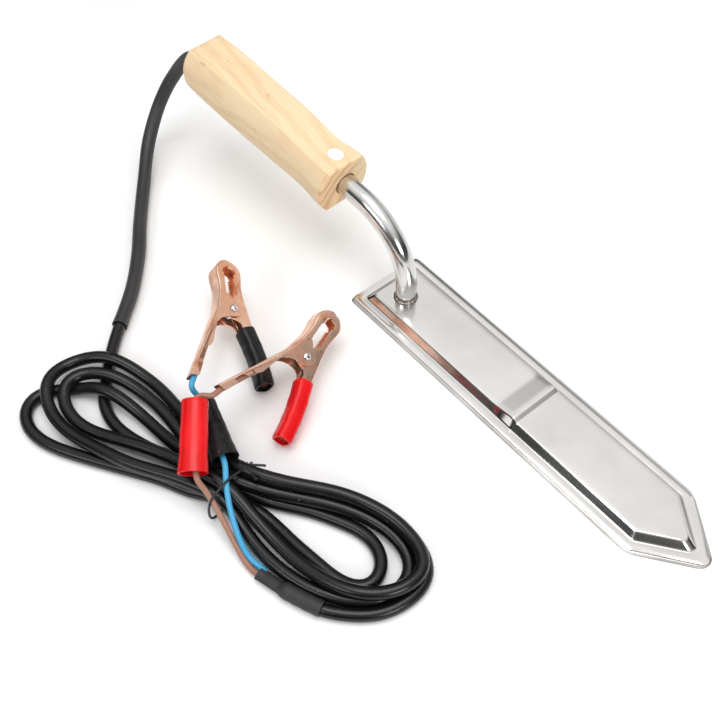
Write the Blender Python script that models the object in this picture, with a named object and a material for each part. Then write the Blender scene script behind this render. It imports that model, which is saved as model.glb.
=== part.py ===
"""Electric uncapping knife: a heated steel blade on a bent neck tube with a wooden handle,
and a twin-core lead wound into a tied hank that ends in two copper battery clips.

Lengths in this script are millimetres; every object is scaled to metres when it is made.
The drawing frame has its zero at the blade's heel: +X runs along the blade to its tip,
+Y to the blade's left edge and +Z up from the table. HEEL places it in the world.
"""
import math

import bmesh
import bpy
import numpy as np
from mathutils import Matrix, Vector

MM = 0.001
GAP = 0.3                       # clearance between pieces that touch

# ---------------------------------------------------------------- driving dimensions
HEEL = (-41.6, 0.9, 0.0)        # the blade's heel in the world

BLADE_HALF_WIDTH = 25.0
BLADE_POINT_X = 236.0           # where the two front edges would meet
FRONT_SLOPE = 1.336             # run along X for each millimetre across a front edge
PLATE_THICKNESS = 1.0
SHEET = 0.5                     # pressed cover sheet
TRAY_TOP = 5.6
RIB_RISE_X = 106.8
RIB_CREST_X = 117.6
RIB_FALL_X = 121.0
RIB_HEIGHT = 2.0

TUBE_RADIUS = 5.9
TUBE_BORE = 4.9
TUBE_FOOT = (21.6, -2.6)        # where the neck stands on the blade
TUBE_RISE = 10.0                # straight length above the cover
BEND_RADIUS = 40.2
BEND_ANGLE = math.radians(83.7)
BEND_YAW = math.radians(2.72)
TUBE_STRAIGHT = 13.2            # from the end of the bend to the handle's face
TUBE_INSERT = 28.0              # length pushed into the handle

HANDLE_LENGTH = 120.2
HANDLE_OFFSET = (-1.0, 0.6)     # handle centre from the tube's axis, across and up
HOLE_RADIUS = 6.4
CAVITY_RADIUS = 5.5
ENTRY_RADIUS = 4.35
ENTRY_DEPTH = 24.0
ENTRY_DROP = 4.0                # the cable's hole is drilled below the tube's axis

CABLE_RADIUS = 3.3
SLEEVE_RADIUS = 4.0
CORE_RADIUS = 1.45
LEAD_RADIUS = 0.9

HANK_BOTTOM = 2.2
HANK_TOP = 11.4
HANK_EDGE = 2.4                 # height of its eased edges

BOOT_RADIUS = 6.8
BOOT_BORE = 5.6
BOOT_LENGTH = 36.0

CLIP_HALF_WIDTH = 5.0
CLIP_PLATE = 0.9
INNER_HALF_WIDTH = 3.8
RIVET_RADIUS = 1.5

# ---------------------------------------------------------------- materials
FINISHES = {
    "blade_steel": ((0.80, 0.79, 0.78), 0.16, 1.0),
    "tray_steel": ((0.82, 0.80, 0.79), 0.10, 1.0),
    "tube_steel": ((0.72, 0.72, 0.72), 0.12, 1.0),
    "weld_steel": ((0.60, 0.58, 0.56), 0.35, 1.0),
    "mica": ((0.62, 0.52, 0.36), 0.55, 0.0),
    "heater_ribbon": ((0.45, 0.40, 0.34), 0.45, 0.0),
    "lead_sleeving": ((0.86, 0.85, 0.80), 0.70, 0.0),
    "splice_tin": ((0.68, 0.68, 0.70), 0.30, 1.0),
    "pine_wood": ((0.88, 0.70, 0.44), 0.45, 0.0),
    "sticker_paper": ((0.93, 0.94, 0.95), 0.50, 0.0),
    "cable_jacket": ((0.012, 0.012, 0.013), 0.22, 0.0),
    "sleeve_jacket": ((0.015, 0.015, 0.016), 0.30, 0.0),
    "shrink_black": ((0.02, 0.02, 0.02), 0.60, 0.0),
    "wire_brown": ((0.45, 0.27, 0.18), 0.40, 0.0),
    "wire_blue": ((0.16, 0.50, 0.72), 0.40, 0.0),
    "vinyl_red": ((0.80, 0.02, 0.03), 0.25, 0.0),
    "vinyl_black": ((0.02, 0.02, 0.022), 0.35, 0.0),
    "tie_black": ((0.03, 0.03, 0.03), 0.45, 0.0),
    "clip_copper": ((0.85, 0.50, 0.36), 0.22, 1.0),
    "rivet_steel": ((0.74, 0.74, 0.75), 0.25, 1.0),
}


def material(name):
    """The finish of one kind of surface, made once."""
    found = bpy.data.materials.get(name)
    if found:
        return found
    colour, roughness, metallic = FINISHES[name]
    made = bpy.data.materials.new(name)
    made.use_nodes = True
    shader = made.node_tree.nodes["Principled BSDF"]
    shader.inputs["Base Color"].default_value = (*colour, 1.0)
    shader.inputs["Roughness"].default_value = roughness
    shader.inputs["Metallic"].default_value = metallic
    made.diffuse_color = (*colour, 1.0)
    return made


# ---------------------------------------------------------------- mesh helpers
HEEL_FRAME = Matrix.Translation(Vector(HEEL) * MM)


def make(name, verts, faces, finish, frame=None, sharp=35.0):
    """One closed piece from points in millimetres, placed by its own frame."""
    mesh = bpy.data.meshes.new(name)
    mesh.from_pydata([Vector(v) * MM for v in verts], [], faces)
    work = bmesh.new()
    work.from_mesh(mesh)
    bmesh.ops.recalc_face_normals(work, faces=work.faces)
    work.to_mesh(mesh)
    work.free()
    mesh.materials.append(material(finish))
    mesh.shade_smooth()
    mesh.set_sharp_from_angle(angle=math.radians(sharp))
    made = bpy.data.objects.new(name, mesh)
    bpy.context.scene.collection.objects.link(made)
    made.matrix_world = HEEL_FRAME @ frame if frame else HEEL_FRAME
    return made


def loft(rings, closed=False):
    """Faces that join rings of equal length; open lofts get flat ends."""
    count = len(rings[0])
    verts = [p for ring in rings for p in ring]
    faces = []
    pairs = len(rings) if closed else len(rings) - 1
    for i in range(pairs):
        a = i * count
        b = ((i + 1) % len(rings)) * count
        for k in range(count):
            n = (k + 1) % count
            faces.append((a + k, a + n, b + n, b + k))
    if not closed:
        faces.append(tuple(reversed(range(count))))
        faces.append(tuple(range(len(verts) - count, len(verts))))
    return verts, faces


def prism(outline, low, high):
    """A flat outline with height, from low to high."""
    return loft([[(x, y, low) for x, y in outline], [(x, y, high) for x, y in outline]])


def rounded(corners, steps=4):
    """A polygon whose corners (x, y, radius) are drawn as arcs; radius 0 keeps the point."""
    points = []
    for i, (x, y, radius) in enumerate(corners):
        here = Vector((x, y))
        if radius == 0:
            points.append((x, y))
            continue
        back = (Vector(corners[i - 1][:2]) - here).normalized()
        ahead = (Vector(corners[(i + 1) % len(corners)][:2]) - here).normalized()
        half = back.angle(ahead) / 2
        middle = here + (back + ahead).normalized() * (radius / math.sin(half))
        start = here + back * (radius / math.tan(half)) - middle
        stop = here + ahead * (radius / math.tan(half)) - middle
        sweep = start.angle_signed(stop)
        for k in range(steps + 1):
            turn = Matrix.Rotation(-sweep * k / steps, 2)
            points.append(tuple(middle + turn @ start))
    return points


def turned(profile, sides=24):
    """A body of revolution about Z from (radius, z) pairs; a first and last radius of 0 closes it."""
    rings = []
    for radius, z in profile:
        angles = [2 * math.pi * k / sides for k in range(sides)]
        rings.append([(radius * math.cos(t), radius * math.sin(t), z) for t in angles])
    return rings


def smooth_path(points, spacing):
    """Evenly spaced points on a smooth curve (centripetal Catmull-Rom) through the route."""
    p = np.array(points, float)
    p = np.vstack([2 * p[0] - p[1], p, 2 * p[-1] - p[-2]])
    fine = []
    for a, b, c, d in zip(p, p[1:], p[2:], p[3:]):
        t1 = np.linalg.norm(b - a) ** 0.5
        t2 = t1 + np.linalg.norm(c - b) ** 0.5
        t3 = t2 + np.linalg.norm(d - c) ** 0.5
        for t in np.linspace(t1, t2, 24, endpoint=False):
            ab = a * (t1 - t) / t1 + b * t / t1
            bc = b * (t2 - t) / (t2 - t1) + c * (t - t1) / (t2 - t1)
            cd = c * (t3 - t) / (t3 - t2) + d * (t - t2) / (t3 - t2)
            abc = ab * (t2 - t) / t2 + bc * t / t2
            bcd = bc * (t3 - t) / (t3 - t1) + cd * (t - t1) / (t3 - t1)
            fine.append(abc * (t2 - t) / (t2 - t1) + bcd * (t - t1) / (t2 - t1))
    fine.append(p[-2])
    fine = np.array(fine)
    run = np.concatenate([[0], np.cumsum(np.linalg.norm(np.diff(fine, axis=0), axis=1))])
    count = max(2, round(run[-1] / spacing))
    at = np.linspace(0, run[-1], count + 1)
    return np.stack([np.interp(at, run, fine[:, k]) for k in range(3)], axis=1)


def cord(name, route, radius, finish, spacing, resolution=3):
    """A flexible round piece: a poly curve with a bevel and filled ends."""
    points = smooth_path(route, spacing)
    curve = bpy.data.curves.new(name, "CURVE")
    curve.dimensions = "3D"
    curve.bevel_depth = radius * MM
    curve.bevel_resolution = resolution
    curve.use_fill_caps = True
    spline = curve.splines.new("POLY")
    spline.points.add(len(points) - 1)
    for slot, point in zip(spline.points, points):
        slot.co = (*(Vector(point) * MM), 1.0)
    curve.materials.append(material(finish))
    made = bpy.data.objects.new(name, curve)
    bpy.context.scene.collection.objects.link(made)
    made.matrix_world = HEEL_FRAME
    return made


def cut(target, cutter):
    """Take the cutter's volume out of the target and drop the cutter."""
    modifier = target.modifiers.new("cut", "BOOLEAN")
    modifier.operation = "DIFFERENCE"
    modifier.solver = "EXACT"
    modifier.object = cutter
    bpy.context.view_layer.update()
    graph = bpy.context.evaluated_depsgraph_get()
    mesh = bpy.data.meshes.new_from_object(target.evaluated_get(graph))
    target.modifiers.clear()
    mesh.name = target.name
    target.data = mesh
    bpy.data.objects.remove(cutter)


def axes_frame(origin, x_axis, y_axis):
    """A placement whose columns are the given axes and their cross product."""
    x_axis = Vector(x_axis).normalized()
    z_axis = x_axis.cross(Vector(y_axis)).normalized()
    y_axis = z_axis.cross(x_axis)
    turn = Matrix((x_axis, y_axis, z_axis)).transposed().to_4x4()
    return Matrix.Translation(Vector(origin) * MM) @ turn


# ---------------------------------------------------------------- blade and cover
def blade_outline(side, rear, front, corner, shoulder, tip, rib=False):
    """The blade's outline moved inward by side, rear and front, with rounded corners."""
    half = BLADE_HALF_WIDTH - side
    point_x = BLADE_POINT_X - front * math.hypot(1, FRONT_SLOPE)
    shoulder_x = point_x - half * FRONT_SLOPE
    marks = []
    if rib:
        steep = (RIB_CREST_X + RIB_FALL_X) / 2
        marks = [RIB_RISE_X, (RIB_RISE_X + RIB_CREST_X) / 2, RIB_CREST_X, steep, RIB_FALL_X]
    left = [(x, half, 0) for x in marks]
    right = [(x, -half, 0) for x in reversed(marks)]
    return rounded([(rear, half, corner), *left, (shoulder_x, half, shoulder),
                    (point_x, 0, tip), (shoulder_x, -half, shoulder), *right,
                    (rear, -half, corner)])


def blade_plate():
    """The flat plate that cuts: square at the heel, pointed in front, with a bevelled edge."""
    low = blade_outline(0.0, 0.0, 0.0, 3.0, 14.0, 6.5)
    rim = [(x, y, 0.3) for x, y in low]
    high = blade_outline(1.2, 0.4, 1.2, 2.5, 13.5, 6.0)
    verts, faces = loft([[(x, y, 0.0) for x, y in low], rim,
                         [(x, y, PLATE_THICKNESS) for x, y in high]])
    make("blade_plate", verts, faces, "blade_steel")


def rib_lift(x):
    """How far the pressed rib stands above the tray at a place along the blade."""
    if x <= RIB_RISE_X or x >= RIB_FALL_X:
        return 0.0
    if x <= RIB_CREST_X:
        part = (x - RIB_RISE_X) / (RIB_CREST_X - RIB_RISE_X)
    else:
        part = (RIB_FALL_X - x) / (RIB_FALL_X - RIB_CREST_X)
    return RIB_HEIGHT * (0.5 - 0.5 * math.cos(math.pi * part))


def cover_ring(side, rear, front, z, lift=1.0, corner=2.5):
    """One level line of the cover; lift says how much of the rib it carries."""
    line = blade_outline(side, rear, front, corner, 5.0, 3.5, rib=True)
    return [(x, y, z + lift * rib_lift(x)) for x, y in line]


def cover_surface(drop):
    """The rings of one face of the cover sheet, drop below its outer face."""
    base = PLATE_THICKNESS + GAP + SHEET - drop
    top = TRAY_TOP - drop
    inset = drop * 0.9
    return [
        cover_ring(1.6, 0.8, 1.6, base, lift=0.0, corner=2.5),
        cover_ring(7.3 + inset, 6.1 + inset, 7.2 + inset, base, lift=0.0),
        cover_ring(8.1 + inset, 6.9 + inset, 8.0 + inset, base + 0.5, lift=0.0),
        cover_ring(8.9 + inset, 8.0 + inset, 9.2 + inset, top - 0.5, lift=0.9),
        cover_ring(9.6 + inset, 8.9 + inset, 10.1 + inset, top, lift=1.0),
    ]


def tray_faces(ring_start, count):
    """Close a tray ring with one field behind the rib, strips over it and one field ahead."""
    arc = 5
    marks = 5
    left = [ring_start + arc + k for k in range(marks)]
    right = [ring_start + count - arc - 1 - k for k in range(marks)]
    behind = [ring_start + k for k in range(arc)]
    behind = behind + [left[0], right[0]] + [ring_start + count - arc + k for k in range(arc)]
    ahead = list(range(left[-1], right[-1] + 1))
    strips = [(left[k], left[k + 1], right[k + 1], right[k]) for k in range(marks - 1)]
    return [tuple(behind), tuple(ahead), *strips]


def blade_cover():
    """The pressed tray over the heater: a flange, sloping walls, a plateau and a cross rib."""
    outer = cover_surface(0.0)
    inner = cover_surface(SHEET)
    rings = list(reversed(inner)) + outer
    count = len(outer[0])
    verts, faces = loft(rings)
    faces = faces[:-2]
    faces += tray_faces(0, count)
    faces += tray_faces(len(verts) - count, count)
    cover = make("blade_cover", verts, faces, "tray_steel", sharp=22.0)
    hole = turned([(TUBE_RADIUS + 0.1, 0.0), (TUBE_RADIUS + 0.1, 12.0)])
    place = Matrix.Translation(Vector((*TUBE_FOOT, 0)) * MM)
    cutter = make("neck_hole_cutter", *loft(hole), "tray_steel", frame=place)
    cut(cover, cutter)


def heater():
    """The heating element under the tray: a notched core between two sheets of mica."""
    level = PLATE_THICKNESS + GAP
    for name, height in (("heater_mica_lower", 0.5), ("heater_core", 0.9), ("heater_mica_upper", 0.5)):
        if name == "heater_core":
            half, x_low, x_high, notches = 12.0, 34.0, 188.0, 28
            pitch = (x_high - x_low) / notches
            edge = []
            for k in range(notches):
                x = x_low + k * pitch
                edge += [(x, half), (x + pitch * 0.5, half), (x + pitch * 0.5, half - 0.8),
                         (x + pitch, half - 0.8)]
            outline = edge + [(x, -y) for x, y in reversed(edge)]
            finish = "heater_ribbon"
        else:
            outline = rounded([(31, 13.5, 2), (194, 13.5, 2), (194, -13.5, 2), (31, -13.5, 2)])
            finish = "mica"
        make(name, *prism(outline, level, level + height), finish)
        level += height + GAP


# ---------------------------------------------------------------- neck and handle
SIDE_AXIS = Vector((-math.sin(BEND_YAW), math.cos(BEND_YAW), 0))
BACK_AXIS = Vector((-math.cos(BEND_YAW), -math.sin(BEND_YAW), 0))
NECK_BASE = Vector((*TUBE_FOOT, TRAY_TOP - SHEET))


def neck_path():
    """Centre points and directions along the neck, from its foot to its end in the handle."""
    up = Vector((0, 0, 1))
    points = [(NECK_BASE, up)]
    start = Vector((*TUBE_FOOT, TRAY_TOP + TUBE_RISE - 0.6))
    steps = 14
    for k in range(steps + 1):
        t = BEND_ANGLE * k / steps
        here = start + BACK_AXIS * (BEND_RADIUS * (1 - math.cos(t))) + up * (BEND_RADIUS * math.sin(t))
        points.append((here, BACK_AXIS * math.sin(t) + up * math.cos(t)))
    last, direction = points[-1]
    points.append((last + direction * TUBE_STRAIGHT, direction))
    points.append((last + direction * (TUBE_STRAIGHT + TUBE_INSERT), direction))
    return points


def ring_at(centre, direction, radius, sides=24):
    """A circle across the neck; its first point lies on the side axis."""
    across = SIDE_AXIS.cross(direction)
    ring = []
    for k in range(sides):
        t = 2 * math.pi * k / sides
        ring.append(tuple(centre + SIDE_AXIS * (radius * math.cos(t)) + across * (radius * math.sin(t))))
    return ring


def neck_tube():
    """The bent steel tube: a waisted foot, one bend and a straight end in the handle."""
    path = neck_path()
    foot, up = path[0]
    foot_rings = [(foot, up, TUBE_RADIUS - 0.6), (foot + up * 3.2, up, TUBE_RADIUS - 0.6),
                  (foot + up * 6.5, up, TUBE_RADIUS - 0.1)]
    outer = foot_rings + [(p, d, TUBE_RADIUS) for p, d in path[1:]]
    inner = [(foot, up, TUBE_BORE - 0.4)] + [(p, d, TUBE_BORE) for p, d in path[1:]]
    rings = [ring_at(p, d, r) for p, d, r in outer]
    rings += [ring_at(p, d, r) for p, d, r in reversed(inner)]
    verts, faces = loft(rings, closed=True)
    make("neck_tube", verts, faces, "tube_steel")


def neck_weld():
    """The weld bead that joins the tube's foot to the cover."""
    inside = TUBE_RADIUS - 0.6 + GAP
    base = TRAY_TOP + GAP
    profile = [(inside, base), (7.4, base), (7.2, base + 0.5), (6.6, base + 1.1), (6.0, base + 1.5),
               (inside, base + 1.5)]
    place = Matrix.Translation(Vector((*TUBE_FOOT, 0)) * MM)
    make("neck_weld", *loft(turned(profile), closed=True), "weld_steel", frame=place)


def handle_axes():
    """The handle's front centre, its axis to the rear, and its across and up directions."""
    face, along = neck_path()[-2]
    up = along.cross(SIDE_AXIS) * -1.0
    centre = face + SIDE_AXIS * HANDLE_OFFSET[0] + up * HANDLE_OFFSET[1]
    return centre, along, SIDE_AXIS, up


# distance from the front, upper half-height, upper half-width, widest half-width
HANDLE_SECTIONS = [
    (0, 13.7, 11.6, 16.6), (5, 13.5, 11.5, 16.8), (10, 13.1, 11.2, 16.6), (16, 12.6, 10.5, 15.9),
    (22, 13.1, 10.3, 15.4), (30, 14.6, 10.5, 15.2), (45, 15.9, 10.4, 15.3), (60, 15.6, 10.3, 15.4),
    (75, 14.6, 9.8, 15.3), (90, 13.8, 9.9, 15.2), (105, 13.3, 10.2, 15.2), (115, 12.5, 9.8, 15.3),
    (120.2, 11.9, 10.2, 15.2),
]
BELLY = 14.0                    # depth of the straight underside
BELLY_HALF_WIDTH = 11.4


def handle_section(distance, inset=0.0):
    """Handle outline at a distance from the front: flat top and belly, bulging sides."""
    table = np.array(HANDLE_SECTIONS, float)
    top, flat, wide = (np.interp(distance, table[:, 0], table[:, k]) for k in (1, 2, 3))
    top, flat, wide, belly = top - inset, flat - inset, wide - inset, BELLY - inset
    under = BELLY_HALF_WIDTH - inset
    side = []
    for k in range(11):
        part = k / 10
        n = top + (-belly - top) * (0.5 - 0.5 * math.cos(math.pi * part))
        reach = top if n > 0 else belly
        edge = flat if n > 0 else under
        bulge = wide - (wide - edge) * (abs(n) / reach) ** 2.2
        side.append((bulge, n))
    soft = 0.88
    side[0] = (side[0][0] * soft, side[0][1])
    side[-1] = (side[-1][0] * soft, side[-1][1])
    upper = [(-side[0][0] / 3, top), (side[0][0] / 3, top)]
    lower = [(side[-1][0] / 3, -belly), (-side[-1][0] / 3, -belly)]
    return upper + side + lower + [(-s, n) for s, n in reversed(side)]


def wood_handle():
    """The shaped wooden grip, bored through for the neck and the lead."""
    centre, along, side, up = handle_axes()
    stations = [0.0, 0.8, 3, 6, 10, 14, 18, 22, 26, 31, 38, 45, 52, 60, 70, 80, 90, 100, 108, 115,
                119.4, HANDLE_LENGTH]
    rings = []
    for distance in stations:
        inset = 0.8 if distance in (0.0, HANDLE_LENGTH) else 0.0
        place = centre + along * distance
        rings.append([tuple(place + side * s + up * n) for s, n in handle_section(distance, inset)])
    axis_shift = side * -HANDLE_OFFSET[0] + up * -HANDLE_OFFSET[1]
    shelf = HANDLE_LENGTH - ENTRY_DEPTH
    bore = [(HANDLE_LENGTH, ENTRY_RADIUS, ENTRY_DROP), (shelf, ENTRY_RADIUS, ENTRY_DROP),
            (shelf - 1, CAVITY_RADIUS, ENTRY_DROP * 0.8), (shelf - 14, CAVITY_RADIUS, 0.0),
            (TUBE_INSERT + 2, CAVITY_RADIUS, 0.0), (TUBE_INSERT + 1, HOLE_RADIUS, 0.0),
            (0.0, HOLE_RADIUS, 0.0)]
    outline = handle_section(0.0)
    angles = [math.atan2(n + HANDLE_OFFSET[1], s + HANDLE_OFFSET[0]) for s, n in outline]
    for distance, radius, drop in bore:
        place = centre + along * distance + axis_shift - up * drop
        rings.append([tuple(place + side * (radius * math.cos(t)) + up * (radius * math.sin(t)))
                      for t in angles])
    verts, faces = loft(rings, closed=True)
    make("wood_handle", verts, faces, "pine_wood", sharp=40.0)


STICKER_LENGTH = 9.5
STICKER_WIDTH = 8.0
STICKER_MIDDLE = 9.5            # from the handle's front


def handle_sticker():
    """The small oval paper label on the handle's flat top."""
    centre, along, side, up = handle_axes()
    middle = STICKER_MIDDLE
    height_here = handle_section(middle)[0][1]
    height_next = handle_section(middle + 1)[0][1]
    lean = (along + up * (height_next - height_here)).normalized()
    normal = lean.cross(side) * -1.0
    if normal.dot(up) < 0:
        normal = normal * -1.0
    place = centre + along * middle + side * 1.4 + up * height_here + normal * GAP
    angles = np.linspace(0, 2 * math.pi, 28, endpoint=False)
    outline = [(STICKER_LENGTH / 2 * math.cos(t), STICKER_WIDTH / 2 * math.sin(t)) for t in angles]
    frame = axes_frame(place, lean * -1.0, side * -1.0)
    flip = 1.0 if (lean * -1.0).cross(side * -1.0).dot(normal) > 0 else -1.0
    verts, faces = prism(outline, 0.0, 0.15 * flip)
    make("handle_sticker", verts, faces, "sticker_paper", frame=frame)


def inner_wiring():
    """Heater leads up the neck, crimped in the handle to the two cores of the cable."""
    path = neck_path()
    along = path[-1][1]
    face = path[-2][0]
    for name, sign in (("a", 1.0), ("b", -1.0)):
        offset = SIDE_AXIS * (1.7 * sign)
        wide = SIDE_AXIS * (2.4 * sign)
        foot = Vector((*TUBE_FOOT, 0))
        route = [foot + Vector((8.9, 0, 2.6)) + wide, foot + Vector((6.0, 0, 2.6)) + wide,
                 foot + Vector((2.6, 0, 3.2)) + wide * 0.85, foot + Vector((0.6, 0, 5.6)) + offset,
                 foot + Vector((0, 0, 9.0)) + offset]
        route += [point + offset for point, _ in path[2:-1]]
        route += [face + along * 30 + offset, face + along * 42 + wide * 0.95, face + along * 48 + wide]
        cord(f"heater_lead_{name}", route, LEAD_RADIUS, "lead_sleeving", 7.0, resolution=1)
        start = face + along * (48 + GAP) + wide
        frame = axes_frame(start, SIDE_AXIS, along.cross(SIDE_AXIS))
        sleeve = turned([(1.6, 0.0), (1.9, 0.6), (1.9, 5.0), (1.5, 5.6), (1.5, 8.4), (1.9, 9.0),
                         (1.9, 13.4), (1.6, 14.0)], sides=12)
        make(f"splice_{name}", *loft(sleeve), "splice_tin", frame=frame)
        entry = face + along * (HANDLE_LENGTH - ENTRY_DEPTH - GAP) - handle_axes()[3] * ENTRY_DROP
        core = [start + along * (14 + GAP), start + along * 19, entry - along * 6 + wide * 0.7,
                entry + wide * 0.65]
        cord(f"cable_core_{name}", core, CORE_RADIUS, "wire_brown" if sign > 0 else "wire_blue", 8.0,
             resolution=2)


# ---------------------------------------------------------------- cable
# route of the lead from the handle's rear to the hank, chosen point by point
LEAD_ROUTE = [
    (-157.5, -11.4, 65.6), (-163.8, -12.6, 62.0), (-169.5, -14.8, 55.2), (-173.6, -18.2, 47.5),
    (-176.0, -23.0, 40.0), (-176.2, -32.0, 28.0), (-168.1, -46.5, 14.8), (-147.4, -65.0, 6.4),
    (-121.4, -84.8, 4.5), (-101.4, -98.7, 4.3), (-80.2, -116.5, 4.3), (-63.2, -135.0, 4.3),
]
LEAD_END = [(-63.0, -135.0, 3.7), (-57.5, -141.3, 3.6), (-51.0, -148.2, 3.6)]

# the hank's outline on the table, waist first
HANK_OUTLINE = [
    (55, -137), (70, -131), (88, -115), (108, -101), (130, -94.5), (150, -97.5), (160, -110),
    (159, -128), (151, -140.5), (140, -145.5), (118, -152.5), (98, -157), (75, -158.5), (60, -161),
    (45, -166), (28, -177), (5, -192), (-18, -204), (-38, -209.5), (-54, -202), (-60, -185),
    (-58, -166), (-48, -151), (-30, -140.5), (-5, -137.5), (20, -139.5), (40, -139),
]
CABLE_TAIL = [(149.0, -146.6, 3.6), (142.0, -150.4, 3.6), (134.8, -153.6, 3.8)]
SHRINK_ROUTE = [(134.5, -153.7, 4.2), (124.0, -157.6, 4.2), (113.0, -160.8, 4.2), (102.0, -163.2, 3.6)]


def lead():
    """The sleeved lead from inside the handle down to the table, then the bare cable."""
    face, along = neck_path()[-2]
    hole = face - handle_axes()[3] * ENTRY_DROP
    route = [hole + along * (HANDLE_LENGTH - reach) for reach in (ENTRY_DEPTH, ENTRY_DEPTH / 2, 0, -4)]
    cord("cable_sleeve", route + LEAD_ROUTE, SLEEVE_RADIUS, "sleeve_jacket", 9.0, resolution=3)
    first = Vector(LEAD_ROUTE[-1])
    heading = (first - Vector(LEAD_ROUTE[-2])).normalized()
    cord("cable_lead", [first + heading * GAP, *LEAD_END[1:]], CABLE_RADIUS, "cable_jacket", 7.0)


def hank():
    """The wound and tied cable: one solid with the outline of its loops."""
    closed = HANK_OUTLINE[-2:] + HANK_OUTLINE + HANK_OUTLINE[:2]
    fine = smooth_path([(x, y, 0) for x, y in closed], 9.0)
    first = int(np.argmin(np.linalg.norm(fine - np.array([*HANK_OUTLINE[0], 0]), axis=1)[:len(fine) // 2]))
    last = len(fine) // 2 + int(np.argmin(
        np.linalg.norm(fine - np.array([*HANK_OUTLINE[0], 0]), axis=1)[len(fine) // 2:]))
    outline = [(x, y) for x, y, _ in fine[first:last]]
    centre = np.mean(outline, axis=0)

    def shrunk(by):
        return [tuple(np.array(p) - (np.array(p) - centre) / np.linalg.norm(np.array(p) - centre) * by)
                for p in outline]

    soft = HANK_EDGE
    eased = shrunk(soft * 0.8)
    rings = [[(x, y, HANK_BOTTOM) for x, y in eased], [(x, y, HANK_BOTTOM + soft) for x, y in outline],
             [(x, y, HANK_TOP - soft) for x, y in outline], [(x, y, HANK_TOP) for x, y in eased]]
    make("cable_hank", *loft(rings), "cable_jacket")


def swept(points, radii, sides):
    """Rings of changing radius along a path that never turns straight up."""
    rings = []
    for i, point in enumerate(points):
        ahead = Vector(points[min(i + 1, len(points) - 1)]) - Vector(points[max(i - 1, 0)])
        ahead.normalize()
        across = ahead.cross(Vector((0, 0, 1))).normalized()
        over = across.cross(ahead)
        ring = []
        for k in range(sides):
            t = 2 * math.pi * k / sides
            spoke = across * math.cos(t) + over * math.sin(t)
            ring.append(tuple(Vector(point) + spoke * radii[i]))
        rings.append(ring)
    return rings


def cable_end():
    """The last of the cable and the heat-shrink sleeve over the place where its cores part."""
    cord("cable_tail", CABLE_TAIL, CABLE_RADIUS, "cable_jacket", 7.0)
    points = smooth_path(SHRINK_ROUTE, 3.0)
    run = np.linspace(0, 1, len(points))
    radii = np.interp(run, [0.0, 0.06, 0.55, 0.68, 0.95, 1.0], [3.6, 3.9, 3.8, 2.9, 2.6, 2.4])
    make("cable_shrink", *loft(swept(points, radii, 16)), "shrink_black", sharp=60.0)


# ---------------------------------------------------------------- boots, wires and tie
# far and near ends of each insulating boot's axis
BOOT_AXES = {
    "red": ((24.2, -140.8, 33.5), (49.7, -160.8, 24.5)),
    "black": ((15.3, -133.1, 17.4), (52.5, -144.7, 19.1)),
}


def boot_line(colour):
    """The middle of a boot and its direction towards the far end."""
    far, near = (Vector(p) for p in BOOT_AXES[colour])
    return (far + near) / 2, (far - near).normalized()


def boots():
    """Two vinyl boots pushed back along the wires, free to slide over the clips' tails."""
    for colour in ("red", "black"):
        middle, along = boot_line(colour)
        side = along.cross(Vector((0, 0, 1))).normalized()
        frame = axes_frame(middle, side, along.cross(side))
        half = BOOT_LENGTH / 2
        profile = [(BOOT_BORE, -half), (BOOT_RADIUS - 0.4, -half), (BOOT_RADIUS, -half + 0.5),
                   (BOOT_RADIUS, half - 1.2), (BOOT_RADIUS - 0.9, half), (BOOT_BORE - 0.6, half)]
        make(f"boot_{colour}", *loft(turned(profile), closed=True), f"vinyl_{colour}", frame=frame)


TIE_CENTRE = (59.0, -147.0)
TIE_AXIS = (0.9375, 0.347)      # along the hank, through its waist


# the tie's way round the hank and the two wires: across, height, along
TIE_ROUTE = [
    (3, 20.5, 13), (6, 18.2, 8), (8.5, 16.4, 4), (4, 17.2, 2.5), (-1, 18.4, 1.4), (-4.6, 19.0, 0.8),
    (-10, 18.8, 0.3), (-14, 18.4, 0), (-17.6, 15.4, 0), (-18.8, 10, 0), (-18, 4.5, 0), (-15, 1.4, 0),
    (-8, 1.1, 0), (0, 1.1, 0), (8, 1.1, 0), (12.6, 2.4, 1), (14.4, 6.5, 1.5), (13.8, 11.5, 2.5),
    (11.4, 15.4, 3.8), (9.4, 18.4, 5.6), (10.5, 19.4, 9), (12.5, 18.5, 12),
]


def tie_point(across, height, along=0.0):
    """A point of the tie's plane, across the hank's waist."""
    x = TIE_CENTRE[0] - TIE_AXIS[1] * across + TIE_AXIS[0] * along
    y = TIE_CENTRE[1] + TIE_AXIS[0] * across + TIE_AXIS[1] * along
    return (x, y, height)


def twist_tie():
    """The wire tie round the waist of the hank, with its twisted ends on top."""
    route = [tie_point(*place) for place in TIE_ROUTE]
    cord("twist_tie", route, 0.65, "tie_black", 3.4, resolution=1)


WIRE_ROUTES = {
    "brown": [(100.8, -164.2, 3.0), (93.6, -164.6, 3.4), (85.6, -163.8, 6.6), (78.4, -162.8, 9.8),
              (71.4, -161.8, 12.6), (64.8, -160.8, 15.0), (58.8, -160.0, 18.0)],
    "blue": [(100.8, -160.9, 3.8), (94.0, -162.0, 4.2), (86.0, -161.4, 8.2), (78.0, -159.8, 12.2),
             (70.4, -157.0, 14.9), (62.2, -152.4, 16.6)],
}


# ---------------------------------------------------------------- battery clips
# rivet centre, bearing of the nose, rise of the nose, and roll about the nose line
CLIP_POSES = {
    "black": ((-20.1, -90.5, 20.6), 149.9, 6.6, 32.8),
    "red": ((26.6, -78.5, 18.1), 112.3, 1.1, 39.0),
}
TAIL_SLOPE = 0.437


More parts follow.
